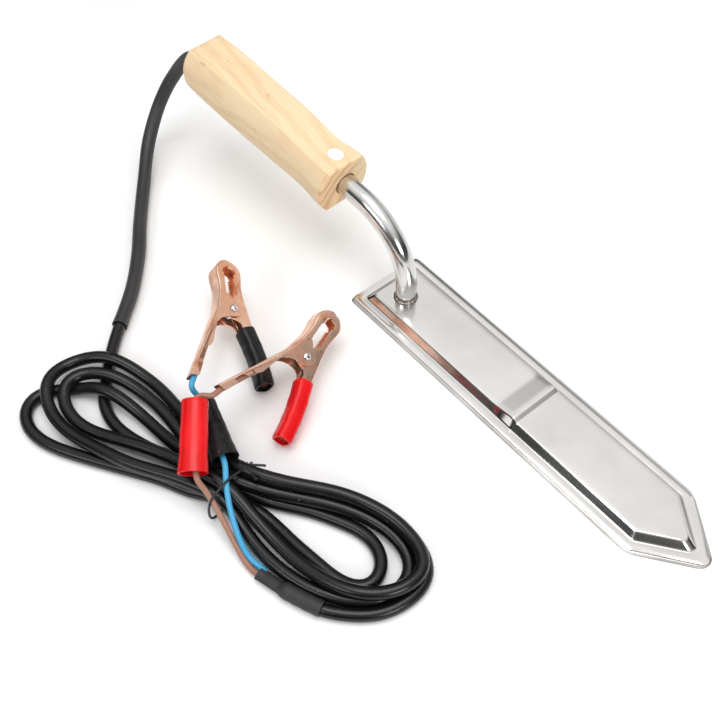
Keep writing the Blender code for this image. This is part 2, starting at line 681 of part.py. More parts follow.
def clip_frame(colour):
    """Placement of a clip: x to the nose, y to the moving jaw, z along the rivet."""
    origin, bearing, rise, roll = CLIP_POSES[colour]
    b, e, r = (math.radians(a) for a in (bearing, rise, roll))
    nose = Vector((math.cos(b) * math.cos(e), math.sin(b) * math.cos(e), math.sin(e)))
    side = Vector((math.sin(b), -math.cos(b), 0))
    over = side.cross(nose)
    return axes_frame(origin, nose, side * math.cos(r) - over * math.sin(r))


def clip_point(colour, x, y, z=0.0):
    """A point given in a clip's own frame, in the drawing frame."""
    return (clip_frame(colour) @ (Vector((x, y, z)) * MM)) / MM


def teeth(x_low, x_high, level, height, count):
    """A row of teeth along the jaw opening, pointing away from the jaw's back."""
    pitch = (x_high - x_low) / count
    row = []
    for k in range(count):
        x = x_low + k * pitch
        row += [(x, level), (x + pitch / 2, level + height)]
    return row


def tail_edge(x, above=0.0):
    """The outer edge line of the fixed jaw's tail, raised by above."""
    return -9.3 + TAIL_SLOPE * (x + 0.8) + above


FIXED_BACK = [(30.9, 0.1), (30.3, -1.3), (26.0, -4.4), (21.4, -7.1), (17.5, -6.4), (13.8, -6.05),
              (6.0, -7.3), (-0.8, -9.3)]
FIXED_EAR = [(-10.8, -11.0), (-8.2, -8.6), (-6.3, -5.6), (-5.2, -1.5), (-4.6, 1.8), (-2.4, 4.4),
             (1.0, 5.0), (4.0, 3.4), (5.4, 0.4)]
MOVING_BACK = [(30.9, 0.4), (31.1, 1.3), (28.0, 4.2), (24.3, 7.2), (19.0, 6.3), (13.8, 6.05), (6.0, 6.9),
               (-2.0, 9.0), (-8.8, 10.6), (-40.0, 18.1)]
MOVING_EAR = [(-41.6, 11.4), (-11.0, 3.6), (-8.6, 4.4), (-6.6, 2.6), (-5.4, -1.8), (-2.6, -4.7),
              (1.0, -5.1), (4.0, -3.4), (5.4, -0.4)]
GRIP_START = Vector((-9.8, 6.6))
GRIP_END = Vector((-42.9, 14.5))


def channel(name, outline, back, half_width, plate, colour, rim):
    """A folded sheet jaw: its side view at full width, hollowed except along its back."""
    frame = clip_frame(colour)
    verts, faces = prism(outline, -half_width, half_width)
    body = make(name, verts, faces, "clip_copper", frame=frame, sharp=25.0)
    inner = []
    for i, point in enumerate(back):
        ahead = Vector(back[min(i + 1, len(back) - 1)]) - Vector(back[max(i - 1, 0)])
        ahead.normalize()
        inner.append(tuple(Vector(point) + Vector((ahead.y, -ahead.x)) * rim * plate))
    sign = 1.0 if inner[3][1] > back[3][1] else -1.0
    first = (back[0][0] + 0.6, back[0][1] + 2.0 * sign)
    last = Vector(inner[-1]) + (Vector(inner[-1]) - Vector(inner[-2])).normalized() * 8.0
    pocket = [first, *[p for p in inner[1:]], tuple(last), (last.x - 6.0, last.y + 40.0 * sign),
              (first[0] + 8.0, first[1] + 40.0 * sign)]
    depth = half_width - plate
    cutter = make("pocket_cutter", *prism(pocket, -depth, depth), "clip_copper", frame=frame)
    cut(body, cutter)
    drill = turned([(RIVET_RADIUS + GAP, -half_width - 2), (RIVET_RADIUS + GAP, half_width + 2)], sides=16)
    cut(body, make("rivet_cutter", *loft(drill), "clip_copper", frame=frame))
    return body


def fixed_jaw(colour):
    """The jaw with the long tail that the wire is crimped in."""
    back = FIXED_BACK + [(-12.0, tail_edge(-12.0)), (-25.0, tail_edge(-25.0)), (-43.6, tail_edge(-43.6))]
    web = CLIP_PLATE * 1.1
    tabs = [(-43.6, tail_edge(-43.6, 4.6)), (-36.4, tail_edge(-36.4, 4.2)), (-36.0, tail_edge(-36.0, web)),
            (-30.4, tail_edge(-30.4, web)), (-29.9, tail_edge(-29.9, 3.4)), (-27.0, tail_edge(-27.0, 3.4)),
            (-26.6, tail_edge(-26.6, web)), (-25.9, tail_edge(-25.9, web)), (-25.3, tail_edge(-25.3, 4.3)),
            (-23.0, tail_edge(-23.0, 5.0)), (-16.0, tail_edge(-16.0, 3.6))]
    mouth = [(8.0, -1.2), *teeth(10.0, 21.0, -3.4, 0.9, 5), (21.6, -3.6), (24.0, -1.6), (25.2, 0.1)]
    outline = back + tabs + FIXED_EAR + mouth
    jaw = channel(f"clip_{colour}_fixed_jaw", outline, back, CLIP_HALF_WIDTH, CLIP_PLATE, colour, 1.0)
    for vertex in jaw.data.vertices:
        x = vertex.co.x / MM
        if x < -12.0:
            vertex.co.z *= 1.0 - 0.38 * (-12.0 - x) / 31.6
    return jaw


def moving_jaw(colour):
    """The jaw that opens, with the short arm inside the grip."""
    mouth = [(8.0, 1.2), *teeth(10.6, 21.6, 3.4, -0.9, 5), (21.8, 3.6), (24.0, 1.9), (25.2, 0.4)]
    outline = MOVING_BACK + MOVING_EAR + mouth
    return channel(f"clip_{colour}_moving_jaw", outline, MOVING_BACK, INNER_HALF_WIDTH, 0.8, colour, -1.0)


def clip_rivet(colour):
    """The pivot: a shank through both jaws with a round head on each side."""
    head = CLIP_HALF_WIDTH + GAP
    profile = [(1.6, -head - 1.0), (2.5, -head - 0.6), (2.7, -head), (RIVET_RADIUS, -head),
               (RIVET_RADIUS, head), (2.7, head), (2.5, head + 0.6), (1.6, head + 1.0)]
    make(f"clip_{colour}_rivet", *loft(turned(profile, sides=16)), "rivet_steel", frame=clip_frame(colour))


def clip_spring(colour):
    """The torsion spring round the rivet, one leg against each jaw's back."""
    radius, wire, turns = 2.9, 0.45, 3.0
    points = [Vector((-12.6, -12.2, -1.9)), Vector((-8.5, -9.0, -1.9))]
    start = math.radians(215.0)
    sweep = 2 * math.pi * turns - math.radians(70.0)
    steps = 40
    for k in range(steps + 1):
        t = start + sweep * k / steps
        points.append(Vector((radius * math.cos(t), radius * math.sin(t), -1.8 + 3.6 * k / steps)))
    points += [Vector((-8.0, 6.8, 1.9)), Vector((-12.6, 9.6, 1.9))]
    frames = []
    for i, point in enumerate(points):
        ahead = (points[min(i + 1, len(points) - 1)] - points[max(i - 1, 0)]).normalized()
        across = ahead.cross(Vector((0, 0, 1))).normalized()
        over = across.cross(ahead)
        ring = []
        for k in range(6):
            t = 2 * math.pi * k / 6
            ring.append(tuple(point + (across * math.cos(t) + over * math.sin(t)) * wire))
        frames.append(ring)
    make(f"clip_{colour}_spring", *loft(frames), "rivet_steel", frame=clip_frame(colour), sharp=70.0)


def clip_grip(colour):
    """The vinyl sleeve over the moving jaw's arm: a rounded square tube, open at both ends."""
    along = (GRIP_END - GRIP_START).normalized()
    outward = Vector((-along.y, along.x))
    if outward.y < 0:
        outward = -outward

    def ring(distance, half_in, half_wide, corner):
        centre = GRIP_START + along * distance
        line = rounded([(half_in, half_wide, corner), (half_in, -half_wide, corner),
                        (-half_in, -half_wide, corner), (-half_in, half_wide, corner)], steps=3)
        return [(centre.x + outward.x * a, centre.y + outward.y * a, b) for a, b in line]

    length = (GRIP_END - GRIP_START).length
    outside, lip, inside = (5.7, 5.4, 2.4), (5.4, 5.1, 2.0), (4.5, 4.15, 0.6)
    rings = [ring(0.0, *lip), ring(0.8, *outside), ring(length - 0.8, *outside), ring(length, *lip),
             ring(length, *inside), ring(0.0, *inside)]
    make(f"clip_{colour}_grip", *loft(rings, closed=True), f"vinyl_{colour}", frame=clip_frame(colour),
         sharp=50.0)


def clips():
    """Both battery clips, each with five pieces."""
    for colour in ("black", "red"):
        fixed_jaw(colour)
        moving_jaw(colour)
        clip_rivet(colour)
        clip_spring(colour)
        clip_grip(colour)

# where the wire bends, beyond a boot's far rim and aside, and its way into a clip's tail
WIRE_REACH = 2.0
WIRE_LEAN = 1.2
WIRE_ASIDE = {"red": 2.0, "black": -0.8}        # where it enters its boot, beside the middle
CRIMP_ENTRY = [(-49.0, -26.6, 0.4), (-43.4, -24.9, 0.0), (-33.5, -20.7, 0.0)]


def wires():
    """The two cores from the heat-shrink through the boots to the clips' tails."""
    for wire, colour in (("brown", "red"), ("blue", "black")):
        middle, along = boot_line(colour)
        half = BOOT_LENGTH / 2
        crimp = [clip_point(colour, *place) for place in CRIMP_ENTRY]
        mouth = middle + along * (half + WIRE_REACH)
        lean = crimp[0] - mouth
        lean = (lean - along * lean.dot(along)).normalized() * WIRE_LEAN
        beside = Vector((0.64, 0.77, 0)) * WIRE_ASIDE[colour]
        through = [middle - along * (half + 2.5) + beside, middle - along * (half - 5) + beside * 0.7,
                   middle + along * (half - 9), mouth + lean]
        route = [Vector(p) for p in WIRE_ROUTES[wire]] + through + crimp
        cord(f"wire_{wire}", route, CORE_RADIUS, f"wire_{wire}", 4.6, resolution=2)


def main():
    for old in list(bpy.data.objects):
        bpy.data.objects.remove(old)
    blade_plate()
    blade_cover()
    heater()
    neck_tube()
    neck_weld()
    wood_handle()
    handle_sticker()
    inner_wiring()
    lead()
    hank()
    cable_end()
    boots()
    twist_tie()
    clips()
    wires()


main()
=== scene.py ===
"""Looks of the electric uncapping knife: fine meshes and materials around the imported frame.

Lengths are millimetres from the blade's heel, as in the part: +X along the blade,
+Y to its left edge, +Z up. HEEL places that zero in the world, and MM makes metres.
"""
import math

import bmesh
import bpy
import numpy as np
from mathutils import Matrix, Vector

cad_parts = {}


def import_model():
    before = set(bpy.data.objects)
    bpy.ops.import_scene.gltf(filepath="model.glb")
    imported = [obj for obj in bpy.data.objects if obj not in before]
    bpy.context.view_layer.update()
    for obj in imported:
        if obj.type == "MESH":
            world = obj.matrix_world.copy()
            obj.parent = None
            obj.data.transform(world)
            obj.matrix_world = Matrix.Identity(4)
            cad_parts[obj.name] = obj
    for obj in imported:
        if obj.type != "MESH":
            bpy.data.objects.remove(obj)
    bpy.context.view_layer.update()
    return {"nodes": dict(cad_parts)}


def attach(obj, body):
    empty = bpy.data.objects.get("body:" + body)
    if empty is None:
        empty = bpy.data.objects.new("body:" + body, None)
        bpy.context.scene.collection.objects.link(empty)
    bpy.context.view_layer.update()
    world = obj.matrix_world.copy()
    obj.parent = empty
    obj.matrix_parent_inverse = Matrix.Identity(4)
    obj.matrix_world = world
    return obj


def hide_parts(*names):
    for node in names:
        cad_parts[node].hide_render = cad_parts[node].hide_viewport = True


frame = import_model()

MM = 0.001
HEEL = Vector((-41.6, 0.9, 0.0))


# ---------------------------------------------------------------- camera, light and floor
CAMERA_PLACE = (0.245376, -0.256490, 0.437157)
CAMERA_YAW = math.radians(140.12)
CAMERA_DIP = math.radians(53.19)
CAMERA_LENS = 51.04


def camera():
    """The view from above the heel's right, looking down along the handle."""
    ahead = Vector((math.cos(CAMERA_DIP) * math.cos(CAMERA_YAW),
                    math.cos(CAMERA_DIP) * math.sin(CAMERA_YAW), -math.sin(CAMERA_DIP)))
    data = bpy.data.cameras.new("camera")
    data.lens = CAMERA_LENS
    data.sensor_width = 36.0
    made = bpy.data.objects.new("camera", data)
    bpy.context.scene.collection.objects.link(made)
    turn = ahead.to_track_quat("-Z", "Y").to_matrix().to_4x4()
    made.matrix_world = Matrix.Translation(CAMERA_PLACE) @ turn
    bpy.context.scene.camera = made


def area_light(name, place, aim, size, power):
    """A soft rectangular lamp that points at aim."""
    data = bpy.data.lights.new(name, "AREA")
    data.shape = "RECTANGLE"
    data.size, data.size_y = size
    data.energy = power
    made = bpy.data.objects.new(name, data)
    bpy.context.scene.collection.objects.link(made)
    turn = (Vector(aim) - Vector(place)).to_track_quat("-Z", "Y").to_matrix().to_4x4()
    made.matrix_world = Matrix.Translation(place) @ turn


def studio():
    """A bright ceiling and right side, a dark horizon elsewhere, two soft boxes and a pale floor."""
    scene = bpy.context.scene
    scene.view_settings.view_transform = "Standard"
    world = bpy.data.worlds.new("studio")
    world.use_nodes = True
    scene.world = world
    nodes, links = world.node_tree.nodes, world.node_tree.links
    where = nodes.new("ShaderNodeTexCoord")
    parts = nodes.new("ShaderNodeSeparateXYZ")
    dim = [(0.0, 0.70), (0.49, 0.30), (0.51, 0.05), (0.69, 0.06), (0.80, 0.42), (0.87, 0.94), (1.0, 1.05)]
    bright = [(0.0, 0.70), (0.49, 0.60), (0.51, 0.80), (0.70, 0.85), (0.84, 0.98), (1.0, 1.05)]
    half = nodes.new("ShaderNodeMath")
    half.operation = "MULTIPLY_ADD"
    half.inputs[1].default_value = 0.5
    half.inputs[2].default_value = 0.5
    links.new(where.outputs["Generated"], parts.inputs[0])
    links.new(parts.outputs["Z"], half.inputs[0])
    mixed = nodes.new("ShaderNodeMix")
    mixed.data_type = "RGBA"
    toward = nodes.new("ShaderNodeMapRange")
    toward.inputs["From Min"].default_value = 0.80
    toward.inputs["From Max"].default_value = 0.93
    links.new(parts.outputs["Y"], toward.inputs["Value"])
    links.new(toward.outputs["Result"], mixed.inputs["Factor"])
    for stops, side in ((dim, 6), (bright, 7)):
        sky = nodes.new("ShaderNodeValToRGB")
        for spot, _ in stops[1:-1]:
            sky.color_ramp.elements.new(spot)
        for element, (spot, level) in zip(sky.color_ramp.elements, stops):
            element.position = spot
            element.color = (level, level, level, 1.0)
        links.new(half.outputs[0], sky.inputs[0])
        links.new(sky.outputs[0], mixed.inputs[side])
    links.new(mixed.outputs[2], nodes["Background"].inputs["Color"])
    nodes["Background"].inputs["Strength"].default_value = 1.0
    area_light("overhead", (0.10, -0.10, 1.50), (0.0, -0.05, 0.0), (0.9, 0.9), 9.0)
    area_light("tip_fill", (1.30, -0.25, 0.55), (0.0, 0.0, 0.05), (0.5, 0.4), 5.0)
    area_light("front_fill", (0.10, -1.25, 0.80), (0.0, 0.0, 0.0), (0.75, 0.4), 3.6)

    floor = bpy.data.meshes.new("floor")
    far = 4.0
    floor.from_pydata([(-far, -far, 0), (far, -far, 0), (far, far, 0), (-far, far, 0)], [], [(0, 1, 2, 3)])
    made = bpy.data.objects.new("floor", floor)
    bpy.context.scene.collection.objects.link(made)
    paper = look("floor_paper", {"Roughness": 0.9, "Specular IOR Level": 0.1})
    tone = ramp(paper, grain(paper, (1, 1, 1), 9.0), [(0.3, (0.93, 0.93, 0.93)), (0.7, (0.95, 0.95, 0.95))])
    into(paper, "Base Color", tone)
    floor.materials.append(paper)


# ---------------------------------------------------------------- material helpers
def look(name, values):
    """A new Principled material with these values on its shader."""
    made = bpy.data.materials.new("look_" + name)
    made.use_nodes = True
    for socket, value in values.items():
        into(made, socket, value)
    return made


def into(made, socket, value):
    """Set or link a socket of the material's shader."""
    connect(made, made.node_tree.nodes["Principled BSDF"].inputs[socket], value)


def connect(made, socket, value):
    if isinstance(value, bpy.types.NodeSocket):
        made.node_tree.links.new(value, socket)
    else:
        socket.default_value = value


def add(made, kind, values, **settings):
    """A new node with its settings and inputs."""
    node = made.node_tree.nodes.new(kind)
    for key, value in settings.items():
        setattr(node, key, value)
    for socket, value in values.items():
        connect(made, node.inputs[socket], value)
    return node


def coordinates(made, turn=(0, 0, 0), shift=(0, 0, 0)):
    """The piece's own coordinates, moved and turned."""
    where = add(made, "ShaderNodeTexCoord", {}).outputs["Object"]
    moved = add(made, "ShaderNodeVectorMath", {0: where, 1: shift}, operation="SUBTRACT").outputs[0]
    return add(made, "ShaderNodeMapping", {"Vector": moved, "Rotation": turn}).outputs[0]


def grain(made, stretch, scale, detail=4.0, where=None, roughness=0.5, distortion=0.0):
    """Noise in the piece's own coordinates, stretched along its axes."""
    start = where or add(made, "ShaderNodeTexCoord", {}).outputs["Object"]
    spread = add(made, "ShaderNodeMapping", {"Vector": start, "Scale": stretch}).outputs[0]
    return add(made, "ShaderNodeTexNoise", {"Vector": spread, "Scale": scale, "Detail": detail,
                                            "Roughness": roughness, "Distortion": distortion}).outputs["Fac"]


def ramp(made, factor, stops):
    """A colour or grey ramp; a stop is (place, colour) or (place, level)."""
    node = add(made, "ShaderNodeValToRGB", {"Fac": factor})
    elements = node.color_ramp.elements
    for _ in stops[2:]:
        elements.new(0.5)
    for element, (spot, colour) in zip(elements, sorted(stops, key=lambda s: s[0])):
        element.position = spot
        element.color = (*colour, 1.0) if isinstance(colour, tuple) else (colour, colour, colour, 1.0)
    return node.outputs["Color"]


def blended(made, factor, first, second, kind="MIX"):
    """Two colours mixed by a factor."""
    node = add(made, "ShaderNodeMix", {}, data_type="RGBA", blend_type=kind)
    connect(made, node.inputs[0], factor)
    connect(made, node.inputs[6], first)
    connect(made, node.inputs[7], second)
    return node.outputs[2]


def bump(made, height, strength, distance, below=None):
    """A normal from a height, on top of another normal."""
    values = {"Height": height, "Strength": strength, "Distance": distance}
    if below:
        values["Normal"] = below
    return add(made, "ShaderNodeBump", values).outputs["Normal"]


# ---------------------------------------------------------------- materials
def steel(name, dark, light, rough, scratch, wave):
    """Stainless sheet: long polishing scratches, soft smudges and a slight waviness."""
    made = look(name, {"Metallic": 1.0})
    along = grain(made, (6, 260, 60), 9.0, detail=6.0)
    across = grain(made, (170, 20, 60), 6.0, detail=5.0)
    cloud = grain(made, (1, 1, 1), 26.0, detail=5.0)
    into(made, "Base Color", ramp(made, cloud, [(0.32, dark), (0.66, light)]))
    smudge = ramp(made, cloud, [(0.35, rough[0]), (0.65, rough[1])])
    fine = ramp(made, along, [(0.35, 0.0), (0.75, 1.0)])
    into(made, "Roughness", blended(made, 0.25, smudge, blended(made, fine, smudge, smudge, "ADD")))
    marks = blended(made, 0.35, along, across)
    low = bump(made, grain(made, (1, 1, 1), 22.0, detail=1.0), wave, 0.002)
    into(made, "Normal", bump(made, marks, scratch, 0.0002, low))
    return made


def tube_metal():
    """Polished tube with faint drawing lines and handling marks."""
    made = look("tube_steel", {"Metallic": 1.0})
    cloud = grain(made, (1, 1, 1), 60.0, detail=6.0)
    into(made, "Base Color", ramp(made, cloud, [(0.3, (0.60, 0.59, 0.58)), (0.65, (0.74, 0.73, 0.72))]))
    into(made, "Roughness", ramp(made, cloud, [(0.3, 0.13), (0.7, 0.24)]))
    into(made, "Normal", bump(made, grain(made, (1, 1, 1), 900.0, detail=2.0), 0.05, 0.0002))
    return made


def weld_metal():
    """The weld bead: rippled, slightly browned steel."""
    made = look("weld_steel", {"Metallic": 1.0})
    cloud = grain(made, (1, 1, 1), 420.0, detail=6.0)
    into(made, "Base Color", ramp(made, cloud, [(0.3, (0.14, 0.10, 0.08)), (0.7, (0.44, 0.40, 0.37))]))
    into(made, "Roughness", ramp(made, cloud, [(0.3, 0.50), (0.7, 0.26)]))
    into(made, "Normal", bump(made, grain(made, (1, 1, 1), 700.0, detail=3.0), 0.5, 0.0006))
    return made


def pine(turn, shift):
    """Pale pine: growth lines along the handle, ripples between them and a few reddish flecks."""
    made = look("pine_wood", {"Specular IOR Level": 0.35})
    where = coordinates(made, turn, shift)
    bend = grain(made, (2, 6, 6), 5.0, detail=2.0, where=where)
    pull = add(made, "ShaderNodeVectorMath", {0: (0, 0.016, 0.010)}, operation="SCALE")
    connect(made, pull.inputs["Scale"], bend)
    curved = add(made, "ShaderNodeVectorMath", {0: where, 1: pull.outputs[0]}, operation="ADD")
    centred = add(made, "ShaderNodeVectorMath", {0: curved.outputs[0], 1: (0, 0.026, 0.030)}, operation="ADD")
    lines = add(made, "ShaderNodeTexWave", {"Vector": centred.outputs[0], "Scale": 58.0, "Distortion": 1.2,
                                            "Detail": 2.0, "Detail Scale": 0.8},
                wave_type="RINGS", rings_direction="X", wave_profile="SIN").outputs["Fac"]
    fibre = grain(made, (9, 420, 420), 3.0, detail=6.0, where=where)
    late = ramp(made, lines, [(0.30, 0.0), (0.92, 1.0)])
    base = ramp(made, fibre, [(0.28, (0.82, 0.60, 0.35)), (0.72, (0.89, 0.72, 0.48))])
    darker = ramp(made, fibre, [(0.28, (0.72, 0.46, 0.22)), (0.72, (0.80, 0.56, 0.30))])
    amount = add(made, "ShaderNodeMath", {0: late, 1: 0.42}, operation="MULTIPLY").outputs[0]
    wood = blended(made, amount, base, darker)
    knots = grain(made, (26, 120, 120), 2.2, detail=2.0, where=where)
    flecks = ramp(made, knots, [(0.70, 0.0), (0.78, 0.65)])
    wood = blended(made, flecks, wood, (0.50, 0.24, 0.10, 1.0))
    patches = ramp(made, grain(made, (8, 30, 30), 1.6, detail=2.0, where=where), [(0.35, 0.0), (0.75, 0.30)])
    wood = blended(made, patches, wood, (0.93, 0.78, 0.53, 1.0))
    parts = add(made, "ShaderNodeSeparateXYZ", {0: where})
    middle = HANDLE_LENGTH * MM / 2
    reach = add(made, "ShaderNodeMath", {0: parts.outputs["X"], 1: middle}, operation="SUBTRACT")
    reach = add(made, "ShaderNodeMath", {0: reach.outputs[0]}, operation="ABSOLUTE").outputs[0]
    sawn = add(made, "ShaderNodeMapRange", {"Value": reach, "From Min": 0.0589, "From Max": 0.0597,
                                            "To Min": 0.0, "To Max": 0.60}).outputs["Result"]
    rings = ramp(made, lines, [(0.50, (0.88, 0.58, 0.31)), (0.95, (0.66, 0.33, 0.14))])
    into(made, "Base Color", blended(made, sawn, wood, rings))
    into(made, "Roughness", ramp(made, fibre, [(0.3, 0.42), (0.7, 0.60)]))
    into(made, "Normal", bump(made, fibre, 0.16, 0.0004, bump(made, lines, 0.06, 0.0004)))
    return made


def rubber(name, dark, light, rough, texture=1500.0, strength=0.08, specks=True, values=None):
    """Moulded or extruded plastic: a skin of fine pits, soft bloom and specks of dust."""
    made = look(name, values or {})
    cloud = grain(made, (1, 1, 1), 45.0, detail=5.0)
    tone = ramp(made, cloud, [(0.3, dark), (0.7, light)])
    if specks:
        dust = ramp(made, grain(made, (1, 1, 1), 1300.0, detail=1.0), [(0.76, 0.0), (0.82, 0.5)])
        tone = blended(made, dust, tone, (0.45, 0.45, 0.47, 1.0))
    into(made, "Base Color", tone)
    into(made, "Roughness", ramp(made, cloud, [(0.3, rough[0]), (0.7, rough[1])]))
    skin = bump(made, grain(made, (1, 1, 1), texture, detail=3.0), strength, 0.0002)
    into(made, "Normal", bump(made, grain(made, (1, 1, 1), 130.0, detail=2.0), 0.10, 0.0008, skin))
    return made


def copper():
    """Copper-washed steel sheet: salmon faces, browner patches and stamping marks."""
    made = look("clip_copper", {"Metallic": 1.0})
    cloud = grain(made, (1, 1, 1), 120.0, detail=7.0)
    tone = ramp(made, cloud, [(0.28, (0.68, 0.31, 0.18)), (0.42, (0.94, 0.55, 0.39)),
                              (0.75, (1.0, 0.72, 0.56))])
    stain = ramp(made, grain(made, (1, 1, 1), 420.0, detail=3.0), [(0.66, 0.0), (0.76, 0.7)])
    into(made, "Base Color", blended(made, stain, tone, (0.40, 0.14, 0.06, 1.0)))
    into(made, "Roughness", ramp(made, cloud, [(0.3, 0.42), (0.7, 0.26)]))
    rub = bump(made, grain(made, (1, 1, 1), 900.0, detail=5.0), 0.18, 0.0003)
    into(made, "Normal", bump(made, grain(made, (1, 1, 1), 160.0, detail=2.0), 0.12, 0.0010, rub))
    return made


def bright_steel():
    """Nickel-plated rivets and springs with small dull spots."""
    made = look("rivet_steel", {"Metallic": 1.0})
    cloud = grain(made, (1, 1, 1), 600.0, detail=4.0)
    into(made, "Base Color", ramp(made, cloud, [(0.3, (0.50, 0.49, 0.48)), (0.6, (0.80, 0.80, 0.80))]))
    into(made, "Roughness", ramp(made, cloud, [(0.3, 0.35), (0.7, 0.18)]))
    into(made, "Normal", bump(made, cloud, 0.15, 0.0002))
    return made


def mineral(name, dark, light, scale, rough):
    """Layered or woven insulation with a speckled surface."""
    made = look(name, {})
    flakes = grain(made, (1, 1, 3), scale, detail=8.0, roughness=0.7)
    into(made, "Base Color", ramp(made, flakes, [(0.3, dark), (0.7, light)]))
    into(made, "Roughness", ramp(made, flakes, [(0.3, rough), (0.7, rough + 0.2)]))
    into(made, "Normal", bump(made, flakes, 0.3, 0.0002))
    return made


# ---------------------------------------------------------------- mesh helpers
def world(point):
    """A point in millimetres from the heel, as a place in the world."""
    return (Vector(point) + HEEL) * MM


def solid_mesh(name, points, faces):
    """A mesh from points in millimetres, with all its faces turned outward."""
    mesh = bpy.data.meshes.new(name)
    mesh.from_pydata([world(p) for p in points], [], faces)
    work = bmesh.new()
    work.from_mesh(mesh)
    bmesh.ops.recalc_face_normals(work, faces=work.faces)
    work.to_mesh(mesh)
    work.free()
    return mesh


def piece(name, verts, faces, finish, body, slot, replaced=(), place=None, sharp=32.0):
    """A mesh from points in millimetres, with its finish, body and the nodes it stands for; slot is not used.
    """
    points = [place @ Vector(v) for v in verts] if place else verts
    mesh = solid_mesh(name, points, faces)
    mesh.materials.append(finish)
    mesh.shade_smooth()
    mesh.set_sharp_from_angle(angle=math.radians(sharp))
    made = bpy.data.objects.new(name, mesh)
    bpy.context.scene.collection.objects.link(made)
    return settle_in(made, body, replaced)


def settle_in(made, body, replaced):
    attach(made, body)
    if replaced:
        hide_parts(*replaced)
    return made


def loft(rings, closed=False):
    """Faces that join rings of equal length; open lofts get flat ends."""
    count = len(rings[0])
    verts = [p for ring in rings for p in ring]
    faces = []
    for i in range(len(rings) if closed else len(rings) - 1):
        a, b = i * count, ((i + 1) % len(rings)) * count
        for k in range(count):
            n = (k + 1) % count
            faces.append((a + k, a + n, b + n, b + k))
    if not closed:
        faces.append(tuple(reversed(range(count))))
        faces.append(tuple(range(len(verts) - count, len(verts))))
    return verts, faces


def rounded(corners, steps):
    """A polygon whose corners (x, y, radius) are drawn as arcs; radius 0 keeps the point."""
    points = []
    for i, (x, y, radius) in enumerate(corners):
        here = Vector((x, y))
        if radius == 0:
            points.append((x, y))
            continue
        back = (Vector(corners[i - 1][:2]) - here).normalized()
        ahead = (Vector(corners[(i + 1) % len(corners)][:2]) - here).normalized()
        half = back.angle(ahead) / 2
        middle = here + (back + ahead).normalized() * (radius / math.sin(half))
        start = here + back * (radius / math.tan(half)) - middle
        stop = here + ahead * (radius / math.tan(half)) - middle
        sweep = start.angle_signed(stop)
        for k in range(steps + 1):
            points.append(tuple(middle + Matrix.Rotation(-sweep * k / steps, 2) @ start))
    return points


def smooth_path(points, spacing):
    """Evenly spaced points on a centripetal Catmull-Rom curve through the route."""
    p = np.array(points, float)
    p = np.vstack([2 * p[0] - p[1], p, 2 * p[-1] - p[-2]])
    fine = []
    for a, b, c, d in zip(p, p[1:], p[2:], p[3:]):
        t1 = np.linalg.norm(b - a) ** 0.5
        t2 = t1 + np.linalg.norm(c - b) ** 0.5
        t3 = t2 + np.linalg.norm(d - c) ** 0.5
        for t in np.linspace(t1, t2, 24, endpoint=False):
            ab = a * (t1 - t) / t1 + b * t / t1
            bc = b * (t2 - t) / (t2 - t1) + c * (t - t1) / (t2 - t1)
            cd = c * (t3 - t) / (t3 - t2) + d * (t - t2) / (t3 - t2)
            abc = ab * (t2 - t) / t2 + bc * t / t2
            bcd = bc * (t3 - t) / (t3 - t1) + cd * (t - t1) / (t3 - t1)
            fine.append(abc * (t2 - t) / (t2 - t1) + bcd * (t - t1) / (t2 - t1))
    fine.append(p[-2])
    return even(np.array(fine), spacing)


def even(fine, spacing):
    """The same line with evenly spaced points."""
    run = np.concatenate([[0], np.cumsum(np.linalg.norm(np.diff(fine, axis=0), axis=1))])
    at = np.linspace(0, run[-1], max(2, round(run[-1] / spacing)) + 1)
    return np.stack([np.interp(at, run, fine[:, k]) for k in range(3)], axis=1)


def run_length(points):
    return float(np.linalg.norm(np.diff(points, axis=0), axis=1).sum())


def tube_rings(points, radii, sides, flat=None):
    """Rings along a path with a frame that never twists; flat squeezes them across."""
    points = [Vector(p) for p in points]
    ahead = [(points[min(i + 1, len(points) - 1)] - points[max(i - 1, 0)]).normalized()
             for i in range(len(points))]
    over = ahead[0].orthogonal().normalized()
    if abs(ahead[0].z) < 0.9:
        over = (Vector((0, 0, 1)) - ahead[0] * ahead[0].z).normalized()
    rings = []
    for i, (point, heading) in enumerate(zip(points, ahead)):
        over = (over - heading * over.dot(heading)).normalized()
        side = heading.cross(over)
        tall, wide = flat[i] if flat else (1.0, 1.0)
        ring = []
        for k in range(sides):
            t = 2 * math.pi * k / sides
            ring.append(tuple(point + side * (radii[i] * wide * math.cos(t))
                              + over * (radii[i] * tall * math.sin(t))))
        rings.append(ring)
    return rings


def cord_curve(name, points, radius, finish, replaced, resolution=6):
    """A round cord as a curve with filled ends."""
    curve = bpy.data.curves.new(name, "CURVE")
    curve.dimensions = "3D"
    curve.bevel_depth = radius * MM
    curve.bevel_resolution = resolution
    curve.use_fill_caps = True
    spline = curve.splines.new("POLY")
    spline.points.add(len(points) - 1)
    for slot_point, point in zip(spline.points, points):
        slot_point.co = (*world(point), 1.0)
    spline.use_smooth = True
    curve.materials.append(finish)
    made = bpy.data.objects.new(name, curve)
    bpy.context.scene.collection.objects.link(made)
    return settle_in(made, "knife", replaced)


# ---------------------------------------------------------------- cable
CABLE_RADIUS = 3.3
SLEEVE_RADIUS = 4.0
EXIT_POINT = Vector((-147.2, -10.7, 65.6))
HANDLE_ALONG = Vector((-0.9928, -0.0472, 0.1097))

